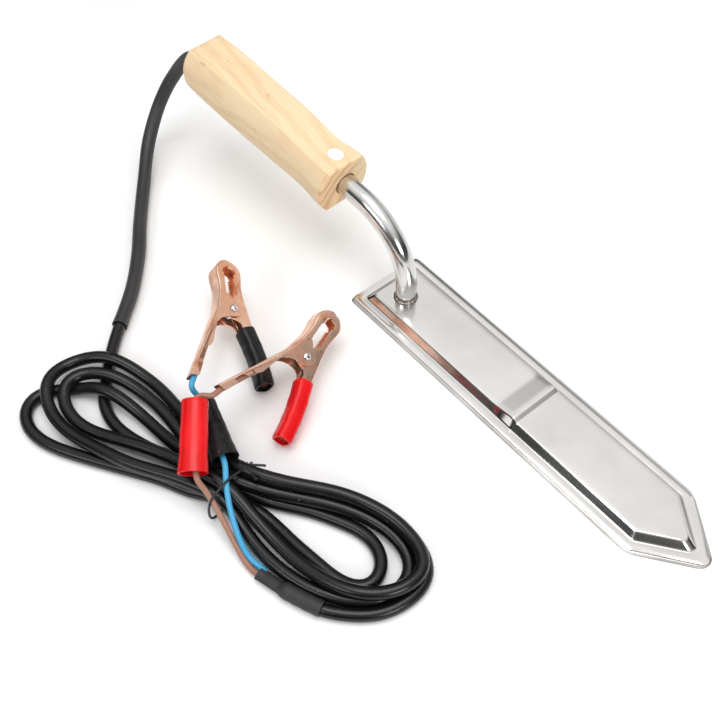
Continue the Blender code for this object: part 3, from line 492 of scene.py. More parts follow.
LEAD_ROUTE = [
    (-157.5, -11.4, 65.6), (-163.8, -12.6, 62.0), (-169.5, -14.8, 55.2), (-173.6, -18.2, 47.5),
    (-176.0, -23.0, 40.0), (-176.2, -32.0, 28.0), (-168.1, -46.5, 14.8), (-147.4, -65.0, 6.4),
    (-121.4, -84.8, 4.5), (-101.4, -98.7, 4.3), (-80.2, -116.5, 4.3), (-63.2, -135.0, 4.3),
]
# the passes of the hank after the lead, in the order in which the cable runs
FIRST_PASS = [
    (-51, -148, 3.6), (-34, -162, 3.4), (-27, -168, 3.4), (-17, -171, 3.4), (-6, -171, 3.4), (8, -167, 3.4),
    (20, -162, 3.4), (30, -157, 3.4), (44, -153, 4), (55, -149, 4.6), (62, -145, 4.6), (69, -141, 4),
    (76, -136, 3.4), (83, -131, 3.4), (91, -125, 3.4), (98, -121, 3.4), (105, -118, 3.4), (112, -114, 3.4),
    (119, -112, 3.4), (126, -112, 3.4), (132, -114, 3.4), (136, -117, 3.4), (139, -121, 3.4),
    (141, -126, 3.4), (140, -130, 3.4), (137, -134, 3.4), (131, -137, 3.4), (122, -139, 3.4),
    (111, -140, 3.4), (100, -142, 3.4), (91, -142, 3.4), (82, -143, 4), (73, -144, 5), (65, -147, 5.5),
]
SECOND_PASS = [
    (58, -153, 5), (49, -162, 3.6), (33, -169, 3.4), (19, -178, 3.4), (5, -187, 3.4), (-9, -196, 3.4),
    (-22, -203, 3.4), (-33, -206, 3.4), (-41, -205, 3.4), (-48, -202, 3.4), (-51, -197, 3.4),
    (-53, -192, 3.4), (-51, -188, 3.4), (-49, -183, 3.4), (-44, -177, 3.4), (-38, -171, 3.6),
    (-31, -166, 6), (-22, -162, 7), (-12, -159, 5), (-1, -157, 3.6), (11, -156, 3.6), (23, -155, 3.6),
    (37, -151, 4), (52, -149, 5), (61, -144, 5), (71, -138, 5), (81, -130, 5), (91, -122, 5),
    (101, -114, 5), (108, -109, 4), (116, -105, 3.6), (125, -102, 3.6), (133, -102, 3.6), (138, -103, 3.6),
    (144, -106, 3.6), (147, -109, 3.6), (149, -112, 3.6), (150, -116, 3.6), (150, -124, 3.6),
    (146, -133, 3.6), (139, -140, 3.6), (132, -145, 3.6), (123, -150, 3.6), (114, -153, 3.6),
    (106, -155, 3.6), (95, -156, 3.6), (85, -156, 3.6), (74, -155, 4), (64, -153, 5),
]
THIRD_PASS = [
    (56, -157, 8), (45, -162, 9), (32, -170, 9), (18, -179, 9), (3, -185, 8), (-9, -189, 8), (-19, -192, 8),
    (-29, -193, 7), (-39, -192, 6), (-47, -189, 6), (-53, -184, 6), (-56, -178, 6), (-56, -171, 6),
    (-55, -165, 6), (-50, -157, 8), (-42, -150, 9), (-28, -144, 6), (-15, -141, 5), (0, -141, 5),
    (20, -143, 6), (36, -143, 8), (51, -142, 10), (60, -141, 10), (69, -135, 10), (79, -128, 10),
    (88, -120, 10), (97, -112, 10), (107, -106, 10), (119, -101, 10), (130, -99, 10), (141, -100, 10),
    (149, -102, 10), (153, -109, 10), (153, -115, 10), (151, -123, 10), (147, -131, 10), (140, -137, 10),
    (134, -141, 10), (125, -144, 10), (115, -146, 10), (104, -148, 10), (96, -148, 10), (88, -149, 10),
    (80, -149, 10), (72, -150, 10), (64, -150, 11),
]
FOURTH_PASS = [
    (54, -153, 11), (45, -157, 11), (35, -159, 11), (24, -163, 11), (12, -169, 11), (1, -175, 11),
    (-10, -181, 10), (-19, -185, 10), (-28, -186, 9), (-36, -185, 9), (-43, -181, 8), (-46, -176, 8),
    (-46, -171, 8), (-43, -166, 9), (-38, -160, 10), (-31, -155, 10), (-18, -150, 9), (-7, -148, 9),
    (4, -147, 9), (19, -148, 9), (33, -148, 9), (49, -147, 9), (59, -142, 5), (69, -136, 4), (79, -128, 3.6),
    (88, -120, 3.6), (98, -112, 3.6), (107, -106, 3.6), (118, -101, 3.6), (128, -99, 3.6), (138, -98, 3.6),
    (148, -100, 3.6), (152, -103, 3.6), (154, -106, 3.6), (156, -113, 3.6), (155, -121, 3.6),
    (154, -126, 3.6), (153, -131, 3.6), (150, -136, 3.6), (146, -142, 3.6), (141, -147, 3.6),
]
CABLE_END = [(135, -151.5, 3.9), (128.5, -154.8, 4.0)]
TIE_CENTRE = (59.0, -147.0)
TIE_AXIS = (0.9375, 0.347)      # along the hank, through its waist
TIE_LIFT = 1.8                  # the strands lie on the tie there


def settled(points, fixed):
    """Let the strands push each other apart and sink to the floor; the first ones stay."""
    spacing = float(np.linalg.norm(points[1] - points[0]))
    apart = int(round(16.0 / spacing))
    room = 2 * CABLE_RADIUS + 0.15
    rest = points.copy()
    here = points.copy()
    i, j = np.triu_indices(len(here), k=apart)
    keep = j >= fixed
    i, j = i[keep], j[keep]
    for step in range(260):
        gap = here[i] - here[j]
        far = np.linalg.norm(gap, axis=1)
        close = far < room
        a, b, gap, far = i[close], j[close], gap[close], far[close]
        push = gap * np.array([0.35, 0.35, 1.3])
        push /= np.linalg.norm(push, axis=1)[:, None] + 1e-9
        push *= (0.5 * (room - far))[:, None]
        move = np.zeros_like(here)
        hits = np.zeros(len(here))
        np.add.at(move, a, push)
        np.add.at(move, b, -push)
        np.add.at(hits, a, 1)
        np.add.at(hits, b, 1)
        here += move / np.maximum(hits, 1.0)[:, None] * 1.3
        sink = 0.10 if step < 200 else 0.0
        here[:, 2] -= sink
        here[:, :2] += 0.03 * (rest[:, :2] - here[:, :2])
        shift = here - rest
        for _ in range(2 if step < 240 else 1):
            shift[1:-1] = 0.25 * shift[:-2] + 0.5 * shift[1:-1] + 0.25 * shift[2:]
        here = rest + shift
        waist = ((here[:, :2] - TIE_CENTRE) @ np.array(TIE_AXIS)) / 14.0
        floor = CABLE_RADIUS + TIE_LIFT * np.exp(-waist ** 2)
        here[:, 2] = np.maximum(here[:, 2], floor)
        here[:fixed] = rest[:fixed]
    return here


def cable_line():
    """The whole cable, from inside the handle to inside the heat-shrink."""
    start = [tuple(EXIT_POINT + HANDLE_ALONG * reach) for reach in (-8, 0, 4)]
    route = start + LEAD_ROUTE + FIRST_PASS + SECOND_PASS + THIRD_PASS + FOURTH_PASS + CABLE_END
    points = smooth_path(route, 3.2)
    lead = int(run_length(smooth_path(start + LEAD_ROUTE, 3.2)) / 3.2)
    for _ in range(5):
        points[lead:-4] = 0.25 * points[lead - 1:-5] + 0.5 * points[lead:-4] + 0.25 * points[lead + 1:-3]
    laid = settled(points, lead)
    for _ in range(4):
        laid[lead:-4] = 0.25 * laid[lead - 1:-5] + 0.5 * laid[lead:-4] + 0.25 * laid[lead + 1:-3]
    return smooth_path([tuple(p) for p in laid[::2]] + [tuple(laid[-1])] * (len(laid) % 2 == 0), 3.0)


def cable(finish):
    """The round black cable in one piece."""
    line = cable_line()
    made = cord_curve("cable", line, CABLE_RADIUS, finish,
                      ("cable_lead", "cable_hank", "cable_tail"), resolution=8)
    return made, line


def sleeve(finish):
    """The heat-shrink sleeve over the lead, with its cut end standing slightly open."""
    start = [tuple(EXIT_POINT + HANDLE_ALONG * reach) for reach in (-22, -12, 0, 4)]
    points = smooth_path(start + LEAD_ROUTE, 3.0)
    run = np.linspace(0, run_length(points), len(points))
    left = run[-1] - run
    radii = SLEEVE_RADIUS + 0.10 * np.sin(run / 9.0) * np.sin(run / 23.0) + 0.30 * np.exp(-(left / 3.0) ** 2)
    rings = tube_rings(points, radii, 40)
    lip = tube_rings(points, radii - 0.55, 40)
    rings += [lip[-1], lip[-2], lip[-3]]
    return piece("lead_sleeve", *loft(rings), finish, "knife", "sleeve_jacket", ("cable_sleeve",), sharp=50)


SHRINK_ROUTE = [(134.5, -152.1, 4.3), (124.0, -156.6, 4.3), (113.0, -160.4, 4.2), (102.0, -163.2, 3.6)]


def shrink(finish):
    """The sleeve where the cable parts: full over the jacket, a shoulder, then flat over two cores."""
    points = smooth_path(SHRINK_ROUTE, 0.7)
    run = np.linspace(0, 1, len(points))
    keys = [0.0, 0.03, 0.50, 0.56, 0.62, 0.66, 0.90, 1.0]
    radii = np.interp(run, keys, [3.75, 3.9, 3.9, 3.95, 3.2, 2.9, 2.8, 2.9])
    tall = np.interp(run, keys, [1.0, 1.0, 1.0, 1.0, 0.9, 0.78, 0.70, 0.72])
    wide = np.interp(run, keys, [1.0, 1.0, 1.0, 1.0, 1.05, 1.08, 1.15, 1.20])
    radii = radii + 0.05 * np.sin(run * 40.0) * (run < 0.55)
    rings = tube_rings(points, radii, 40, list(zip(tall, wide)))
    inner = tube_rings(points, radii - 0.5, 40, list(zip(tall, wide)))
    rings = [inner[2], inner[0]] + rings + [inner[-1], inner[-3]]
    return piece("splice_shrink", *loft(rings), finish, "knife", "shrink_black", ("cable_shrink",), sharp=50)


# ---------------------------------------------------------------- clips' frames, boots, wires, tie
CLIP_POSES = {
    "black": ((-20.1, -90.5, 20.6), 149.9, 6.6, 32.8),
    "red": ((26.6, -78.5, 18.1), 112.3, 1.1, 39.0),
}


def clip_frame(colour):
    """Placement of a clip: x to the nose, y to the moving jaw, z along the rivet."""
    origin, bearing, rise, roll = CLIP_POSES[colour]
    b, e, r = (math.radians(a) for a in (bearing, rise, roll))
    nose = Vector((math.cos(b) * math.cos(e), math.sin(b) * math.cos(e), math.sin(e)))
    side = Vector((math.sin(b), -math.cos(b), 0))
    over = side.cross(nose)
    y_axis = (side * math.cos(r) - over * math.sin(r)).normalized()
    z_axis = nose.cross(y_axis).normalized()
    turn = Matrix((nose, y_axis, z_axis)).transposed().to_4x4()
    return Matrix.Translation(origin) @ turn


BOOT_AXES = {
    "red": ((24.2, -140.8, 33.5), (49.7, -160.8, 24.5)),
    "black": ((15.3, -133.1, 17.4), (52.5, -144.7, 19.1)),
}
BOOT_LENGTH = 36.0
BOOT_RADIUS = 6.8
CORE_RADIUS = 1.45


def boot_line(colour):
    """The middle of a boot and its direction towards the far end."""
    far, near = (Vector(p) for p in BOOT_AXES[colour])
    return (far + near) / 2, (far - near).normalized()


def boot(colour, finish):
    """A soft vinyl boot: a thin tube, pressed oval, a little flared where the wire goes in."""
    middle, along = boot_line(colour)
    count = 36
    spots = np.linspace(-BOOT_LENGTH / 2, BOOT_LENGTH / 2, count)
    points = [middle + along * s for s in spots]
    wave = [0.06 * math.sin(s * 0.9) + 0.05 * math.sin(s * 0.37 + 1.0) for s in spots]
    flare = [0.35 * math.exp(-((s + BOOT_LENGTH / 2) / 4.0) ** 2) for s in spots]
    radii = np.array([BOOT_RADIUS - 0.15 + w + f for w, f in zip(wave, flare)])
    radii[0] -= 0.12
    radii[-1] -= 0.12
    flat = [(0.78 + 0.03 * math.sin(s * 0.12), 1.0 - 0.002 * (s - 4)) for s in spots]
    outer = tube_rings(points, radii, 56, flat)
    inner = tube_rings(points, radii - 0.85, 56, flat)
    verts, faces = loft(outer + list(reversed(inner)), closed=True)
    return piece(f"boot_{colour}_vinyl", verts, faces, finish, f"{colour}_boot", f"vinyl_{colour}",
                 (f"boot_{colour}",), sharp=50)


WIRE_ROUTES = {
    "brown": [(106.0, -162.9, 3.6), (100.8, -164.2, 3.0), (93.6, -164.6, 3.4), (85.6, -163.8, 6.6),
              (78.4, -162.8, 9.8), (71.4, -161.8, 12.6), (64.8, -160.8, 15.0), (58.8, -160.0, 18.0)],
    "blue": [(106.2, -160.9, 3.9), (100.8, -160.9, 3.8), (94.0, -162.0, 4.2), (86.0, -161.4, 8.2),
             (78.0, -159.8, 12.2), (70.4, -157.0, 14.9), (62.2, -152.4, 16.6)],
}
# where a wire bends, beyond its boot's far rim and aside, and its way into a clip's tail
WIRE_REACH = 2.0
WIRE_LEAN = 1.2
WIRE_ASIDE = {"red": 2.0, "black": -0.8}        # where it enters its boot, beside the middle
WIRE_EASED = 4                  # from this point of its route on, a wire's kinks are eased out
CRIMP_ENTRY = [(-49.0, -26.6, 0.4), (-43.4, -24.9, 0.0), (-33.5, -20.7, 0.0), (-22.0, -15.9, 0.0)]


def wire(name, colour, finish):
    """One core from the heat-shrink through its boot into the clip's tail."""
    middle, along = boot_line(colour)
    half = BOOT_LENGTH / 2
    place = clip_frame(colour)
    crimp = [place @ Vector(p) for p in CRIMP_ENTRY]
    mouth = middle + along * (half + WIRE_REACH)
    lean = crimp[0] - mouth
    lean = (lean - along * lean.dot(along)).normalized() * WIRE_LEAN
    beside = Vector((0.64, 0.77, 0)) * WIRE_ASIDE[colour]
    through = [middle - along * (half + 2.5) + beside, middle - along * (half - 5) + beside * 0.7,
               middle + along * (half - 9), mouth + lean]
    places = np.array([tuple(p) for p in WIRE_ROUTES[name] + through + crimp])
    free = slice(WIRE_EASED, len(WIRE_ROUTES[name]))
    for _ in range(3):
        places[free] = (places[free.start - 1:free.stop - 1] + 2 * places[free]
                        + places[free.start + 1:free.stop + 1]) / 4
    points = smooth_path([tuple(p) for p in places.tolist()], 1.6)
    made = cord_curve(f"core_{name}", points, CORE_RADIUS, finish, (f"wire_{name}",))
    return made, points


def tie_point(across, height, along=0.0):
    """A point of the tie's plane, across the hank's waist."""
    x = TIE_CENTRE[0] - TIE_AXIS[1] * across + TIE_AXIS[0] * along
    y = TIE_CENTRE[1] + TIE_AXIS[0] * across + TIE_AXIS[1] * along
    return (x, y, height)


TIE_ROUTE = [
    (3, 20.5, 13), (6, 18.2, 8), (8.5, 16.4, 4), (4, 17.2, 2.5), (-1, 18.4, 1.4), (-4.6, 19.0, 0.8),
    (-10, 18.8, 0.3), (-14, 18.4, 0), (-17.6, 15.4, 0), (-18.8, 10, 0), (-18, 4.5, 0), (-15, 1.4, 0),
    (-8, 1.1, 0), (0, 1.1, 0), (8, 1.1, 0), (12.6, 2.4, 1), (14.4, 6.5, 1.5), (13.8, 11.5, 2.5),
    (11.4, 15.4, 3.8), (9.4, 18.4, 5.6), (10.5, 19.4, 9), (12.5, 18.5, 12),
]
TIE_RADIUS = 0.62
KNOT_PLACE = (9.0, 16.6, 4.6)   # across, height and along, as tie_point takes them
KNOT_START = -2.0
KNOT_LENGTH = 5.0
KNOT_TURNS = 1.75
KNOT_RADIUS = 1.15


def tie(finish):
    """The plastic-coated wire tie, with its two ends twisted together beside the wires."""
    points = smooth_path([tie_point(*place) for place in TIE_ROUTE], 0.8)
    rings = tube_rings(points, [TIE_RADIUS] * len(points), 14)
    knot = np.array(tie_point(*KNOT_PLACE))
    along = np.array(TIE_AXIS + (0.25,))
    left, up = np.array([-TIE_AXIS[1], TIE_AXIS[0], 0.0]), np.array([0, 0, 1.0])
    turns = []
    for k in range(57):
        part = k / 56
        angle = 2 * math.pi * KNOT_TURNS * part
        out = left * math.cos(angle) + up * math.sin(angle)
        turns.append(tuple(knot + along * (KNOT_LENGTH * part + KNOT_START) + out * KNOT_RADIUS))
    verts, faces = loft(rings)
    more, extra = loft(tube_rings(turns, [TIE_RADIUS] * len(turns), 14))
    faces += [tuple(i + len(verts) for i in face) for face in extra]
    return piece("wire_tie", verts + more, faces, finish, "knife", "tie_black", ("twist_tie",), sharp=60)


# ---------------------------------------------------------------- clips
FOLD = 0.9                      # outer radius of the sheet's folds
JAW_PLATE = 0.85
FIXED_HALF_WIDTH = 5.0
MOVING_HALF_WIDTH = 3.8
PIVOT_HOLE_RADIUS = 1.8
CRIMP_FROM_X = 24.5             # the crimped nose starts here
SPRING_TURNS = 4
SPRING_RADIUS = 2.8
SPRING_HALF_WIDTH = 2.1
SPRING_WIRE_RADIUS = 0.48
TAIL_SLOPE = 0.437
ARM_BOW = 1.2                   # how far the grip's arm bows outward
GRIP_ENDS = ((-9.6, 7.6, 0), (-42.9, 15.3, 0))
GRIP_HALF_HEIGHT = 4.55
GRIP_HALF_WIDTH = 4.95
GRIP_WALL = 0.75
GRIP_ROUNDNESS = 0.62           # 1 would be an ellipse, less is squarer


def bent(points, spacing=1.0):
    """A smooth flat line through the given points."""
    return [(x, y) for x, y, _ in smooth_path([(x, y, 0) for x, y in points], spacing)]


def ridged(points, outward):
    """The jaw's back with crimped ridges over its nose, and the thinned rest of the line."""
    line = bent(points, 0.62)
    ridge = [(x + 0.13 * (-1) ** k, y + outward * 0.20 * (-1) ** k)
             for k, (x, y) in enumerate(line) if x > CRIMP_FROM_X]
    return ridge + line[len(ridge)::2]


def teeth(x_low, x_high, level, height, count):
    """A row of teeth along a jaw's mouth."""
    pitch = (x_high - x_low) / count
    row = []
    for k in range(count):
        x = x_low + k * pitch
        row += [(x, level), (x + pitch * 0.3, level + height), (x + pitch * 0.6, level + height)]
    return row


def tail_edge(x, above=0.0):
    """The outer edge line of the fixed jaw's tail, raised by above."""
    return -9.3 + TAIL_SLOPE * (x + 0.8) + above


def jaw(name, back, rest, half_width, finish, colour, body, slot_node, inward, shape):
    """A folded sheet jaw: its side view with a rounded fold along the back, hollow inside."""
    ends = [Vector(back[0])] + [Vector(p) for p in back] + [Vector(back[-1])]
    normals = []
    for before, after in zip(ends, ends[2:]):
        ahead = (after - before).normalized()
        normals.append(Vector((ahead.y, -ahead.x)) * inward)
    levels = []
    for k in reversed(range(5)):
        turn = math.pi / 2 * k / 4
        levels.append((half_width - FOLD * (1 - math.cos(turn)), FOLD * (1 - math.sin(turn))))
    rings = []
    for z, inset in [(-z, inset) for z, inset in reversed(levels)] + levels:
        rings.append([(p[0] + n.x * inset, p[1] + n.y * inset, z) for p, n in zip(back, normals)]
                     + [(x, y, z) for x, y in rest])
    place = clip_frame(colour)
    made = piece(name, *loft(rings), finish, body, "clip_copper", (slot_node,), place=place, sharp=30)
    inner = [Vector(p) + n * JAW_PLATE for p, n in zip(back, normals)]
    first = (back[0][0] + 0.6, back[0][1] + 2.0 * inward)
    last = inner[-1] + (inner[-1] - inner[-2]).normalized() * 8.0
    pocket = [first, *[tuple(p) for p in inner[1:]], tuple(last), (last.x - 6.0, last.y + 40.0 * inward),
              (first[0] + 8.0, first[1] + 40.0 * inward)]
    depth = half_width - JAW_PLATE
    drill(made, *loft([[tuple(place @ Vector((x, y, z))) for x, y in pocket] for z in (-depth, depth)]))
    angles = np.linspace(0, 2 * math.pi, 32, endpoint=False)
    ring = [(PIVOT_HOLE_RADIUS * math.cos(t), PIVOT_HOLE_RADIUS * math.sin(t)) for t in angles]
    drill(made, *loft([[tuple(place @ Vector((x, y, z))) for x, y in ring] for z in (-8, 8)]))
    reshape(made, place, shape)
    edge = made.modifiers.new("edge", "BEVEL")
    edge.width = 0.12 * MM
    edge.segments = 2
    edge.limit_method = "ANGLE"
    edge.angle_limit = math.radians(50)
    return made


def reshape(made, place, shape):
    """Slice the jaw's long arm crosswise and move its points by the given rule."""
    work = bmesh.new()
    work.from_mesh(made.data)
    to_world = Matrix.Translation(HEEL * MM) @ Matrix.Diagonal((MM, MM, MM, 1)) @ place
    across = (to_world.to_3x3() @ Vector((1, 0, 0))).normalized()
    for x in np.arange(-10.0, -43.0, -2.0):
        everything = work.verts[:] + work.edges[:] + work.faces[:]
        bmesh.ops.bisect_plane(work, geom=everything, dist=1e-7, plane_co=to_world @ Vector((x, 0, 0)),
                               plane_no=across)
    from_world = to_world.inverted()
    for vertex in work.verts:
        vertex.co = to_world @ Vector(shape(from_world @ vertex.co))
    work.to_mesh(made.data)
    work.free()
    made.data.set_sharp_from_angle(angle=math.radians(30))


def tail_shape(p):
    """The tail narrows evenly towards its end."""
    reach = min(max((-p.x - 9.0) / 34.6, 0.0), 1.0)
    return (p.x, p.y, p.z * (1.0 - 0.40 * reach ** 0.8))


def arm_shape(p):
    """The gripped arm bows a little outward."""
    reach = min(max((-p.x - 9.0) / 33.0, 0.0), 1.0)
    return (p.x, p.y + ARM_BOW * math.sin(math.pi * reach), p.z)


FIXED_NOSE = [(31.2, 0.15), (31.3, -1.8), (29.6, -4.7), (26.0, -7.2), (22.0, -7.7), (17.6, -7.1),
              (13.0, -7.0), (6.0, -7.9), (-0.8, -9.3)]
FIXED_EAR = [(-10.8, -11.0), (-8.2, -8.6), (-6.3, -5.6), (-5.2, -1.5), (-4.6, 1.8), (-2.4, 4.4), (1.0, 5.0),
             (4.0, 3.4), (5.4, 0.4)]
MOVING_NOSE = [(31.2, 0.45), (31.6, 2.4), (30.0, 5.2), (26.4, 7.5), (22.4, 7.8), (17.6, 7.2), (13.0, 7.1),
               (6.0, 8.0), (-2.0, 9.5), (-8.8, 10.7)]
MOVING_EAR = [(-11.0, 4.4), (-8.6, 4.4), (-6.6, 2.6), (-5.4, -1.8), (-2.6, -4.7), (1.0, -5.1), (4.0, -3.4),
              (5.4, -0.4)]


def clip(colour, vinyl, sheet, nickel):
    """One battery clip: two folded jaws, a rivet, a coiled spring and a vinyl grip."""
    web = JAW_PLATE * 1.1
    back = ridged(FIXED_NOSE[:-1], -1.0) + [(x, tail_edge(x)) for x in (-0.8, -8, -16, -25, -34, -43.6)]
    tabs = [(-43.6, tail_edge(-43.6, 4.6)), (-36.4, tail_edge(-36.4, 4.2)), (-36.0, tail_edge(-36.0, web)),
            (-30.4, tail_edge(-30.4, web)), (-29.9, tail_edge(-29.9, 3.4)), (-27.0, tail_edge(-27.0, 3.4)),
            (-26.6, tail_edge(-26.6, web)), (-25.9, tail_edge(-25.9, web)), (-25.3, tail_edge(-25.3, 4.3)),
            (-23.0, tail_edge(-23.0, 5.0)), (-16.0, tail_edge(-16.0, 3.6))]
    mouth = [(7.4, -0.9), (9.0, -2.2), *teeth(10.2, 23.0, -4.1, 0.9, 8),
             (23.6, -4.6), (26.0, -3.4), (27.4, 0.1)]
    fixed = jaw(f"{colour}_clip_fixed", back, tabs + bent(FIXED_EAR, 0.8) + mouth, FIXED_HALF_WIDTH,
                sheet, colour, "knife", f"clip_{colour}_fixed_jaw", 1.0, tail_shape)
    arm = [MOVING_NOSE[-1], (-16, 12.3), (-24, 14.3), (-32, 16.2), (-40.0, 18.1)]
    mouth = [(7.4, 0.9), (9.2, 2.2), *teeth(10.8, 23.6, 4.1, -0.9, 8),
             (24.2, 4.6), (26.4, 3.4), (27.4, 0.4)]
    moving = jaw(f"{colour}_clip_moving", ridged(MOVING_NOSE[:-1], 1.0) + arm,
                 [(-41.4, 12.4)] + bent(MOVING_EAR, 0.8) + mouth, MOVING_HALF_WIDTH,
                 sheet, colour, f"{colour}_jaw", f"clip_{colour}_moving_jaw", -1.0, arm_shape)

    place = clip_frame(colour)
    face = FIXED_HALF_WIDTH + GAP
    dome = [(0.01, face + 1.05), (0.7, face + 1.02), (1.4, face + 0.85), (1.95, face + 0.45), (2.15, face)]
    profile = [(r, -z) for r, z in dome] + [(1.5, -face), (1.5, face)] + list(reversed(dome))
    rings = [[(r * math.cos(t), r * math.sin(t), z) for t in np.linspace(0, 2 * math.pi, 40, endpoint=False)]
             for r, z in profile]
    rivet = piece(f"{colour}_clip_rivet", *loft(rings), nickel, "knife", "rivet_steel",
                  (f"clip_{colour}_rivet",), place=place, sharp=40)

    side = SPRING_HALF_WIDTH
    coil = [(-12.6, -12.9, -side), (-8.5, -10.9, -side)]
    sweep = 2 * math.pi * SPRING_TURNS - math.radians(70.0)
    for k in range(121):
        t = math.radians(215.0) + sweep * k / 120
        coil.append((SPRING_RADIUS * math.cos(t), SPRING_RADIUS * math.sin(t), -side + 2 * side * k / 120))
    coil += [(-5.4, 4.6, side), (-8.4, 5.0, side)]
    spring_rings = tube_rings(coil, [SPRING_WIRE_RADIUS] * len(coil), 12)
    spring = piece(f"{colour}_clip_spring", *loft(spring_rings), nickel, "knife",
                   "rivet_steel", (f"clip_{colour}_spring",), place=place, sharp=70)

    start, end = (Vector(spot) for spot in GRIP_ENDS)
    count = 44
    spots = [start.lerp(end, k / (count - 1)) for k in range(count)]
    path = [spot + Vector((0, ARM_BOW * math.sin(math.pi * k / (count - 1)), 0))
            for k, spot in enumerate(spots)]
    ahead = [(path[min(k + 1, count - 1)] - path[max(k - 1, 0)]).normalized() for k in range(count)]

    def grip_rings(thin):
        rings = []
        for k, (spot, heading) in enumerate(zip(path, ahead)):
            out = Vector((-heading.y, heading.x, 0)) * -1.0
            part = k / (count - 1)
            fold = 0.10 * math.sin(23 * part) + 0.07 * math.sin(41 * part + 1.0)
            lip = 0.35 if k in (0, count - 1) else 0.0
            tall = GRIP_HALF_HEIGHT + fold - lip - thin
            wide = GRIP_HALF_WIDTH - 0.5 * fold - lip - thin
            ring = []
            for m in range(48):
                t = 2 * math.pi * m / 48
                c, q = (math.copysign(abs(part) ** GRIP_ROUNDNESS, part) for part in (math.cos(t), math.sin(t)))
                ring.append(tuple(spot + out * (tall * c) + Vector((0, 0, wide * q))))
            rings.append(ring)
        return rings

    verts, faces = loft(grip_rings(0.0) + list(reversed(grip_rings(GRIP_WALL))), closed=True)
    grip = piece(f"{colour}_clip_sleeve", verts, faces, vinyl, f"{colour}_jaw", f"vinyl_{colour}",
                 (f"clip_{colour}_grip",), place=place, sharp=50)
    return [fixed, moving, rivet, spring, grip]


# ---------------------------------------------------------------- blade
BLADE_HALF_WIDTH = 25.0
BLADE_POINT_X = 236.0
FRONT_SLOPE = 1.336
PLATE_THICKNESS = 1.0
SHEET = 0.5
GAP = 0.3
TRAY_TOP = 5.6
RIB_RISE_X = 104.0
RIB_CREST_X = 117.6
RIB_FALL_X = 121.0
RIB_HEIGHT = 1.75
TUBE_FOOT = (21.6, -2.6)
TUBE_RADIUS = 5.9


def blade_outline(side, rear, front, corner, shoulder, tip, marks=()):
    """The blade's outline moved inward by side, rear and front, with rounded corners."""
    half = BLADE_HALF_WIDTH - side
    point_x = BLADE_POINT_X - front * math.hypot(1, FRONT_SLOPE)
    shoulder_x = point_x - half * FRONT_SLOPE
    left = [(x, half, 0) for x in marks]
    right = [(x, -half, 0) for x in reversed(marks)]
    return rounded([(rear, half, corner), *left, (shoulder_x, half, shoulder), (point_x, 0, tip),
                    (shoulder_x, -half, shoulder), *right, (rear, -half, corner)], 10)


def rib_lift(x):
    """How far the pressed rib stands above the tray at a place along the blade."""
    if x <= RIB_RISE_X or x >= RIB_FALL_X:
        return 0.0
    if x <= RIB_CREST_X:
        return RIB_HEIGHT * eased((x - RIB_RISE_X) / (RIB_CREST_X - RIB_RISE_X))
    return RIB_HEIGHT * eased((RIB_FALL_X - x) / (RIB_FALL_X - RIB_CREST_X))


def cover_marks():
    """Places along the straight sides: every 8 mm, and closely over the rib."""
    coarse = [x for x in range(18, 186, 8) if x < RIB_RISE_X - 2 or x > RIB_FALL_X + 2]
    rise = np.linspace(RIB_RISE_X - 1, RIB_CREST_X, 20)
    fall = np.linspace(RIB_CREST_X + 0.3, RIB_FALL_X + 0.6, 14)
    return sorted(coarse + list(rise) + list(fall))


def eased(u):
    """A straight slope with short rounded ends, from 0 to 1."""
    soft = 0.22
    if u < soft:
        return u * u / (2 * soft * (1 - soft))
    if u > 1 - soft:
        return 1 - (1 - u) ** 2 / (2 * soft * (1 - soft))
    return (u - soft / 2) / (1 - soft)


def cover_rings(drop):
    """Level lines of one face of the pressed sheet, from its rim to the plateau's edge."""
    marks = cover_marks()
    base = PLATE_THICKNESS + GAP + SHEET - drop
    top = TRAY_TOP - drop
    inset = drop * 0.9
    rings = []

    def ring(side, rear, front, z, lift, corner):
        line = blade_outline(side, rear, front, corner, 5.0, 3.5, marks)
        rings.append([(x, y, z + lift * rib_lift(x)) for x, y in line])

    for share in (0.0, 0.03, 0.5, 0.88):
        soft = 0.12 if share == 0.0 and drop == 0.0 else 0.0
        ring(1.6 + 4.8 * share, 0.8 + 4.4 * share, 1.6 + 4.7 * share, base - soft, 0.0, 2.5)
    steps = 16
    for k in range(steps + 1):
        u = k / steps
        rise = eased(u)
        groove = -0.16 * math.exp(-((u - 0.02) / 0.10) ** 2) if drop == 0.0 else 0.0
        ring(6.4 + inset + 3.9 * u, 5.2 + inset + 4.2 * u, 6.3 + inset + 4.3 * u,
             base + (top - base) * rise + groove, min(1.0, rise * 1.15), 2.5)
    return rings


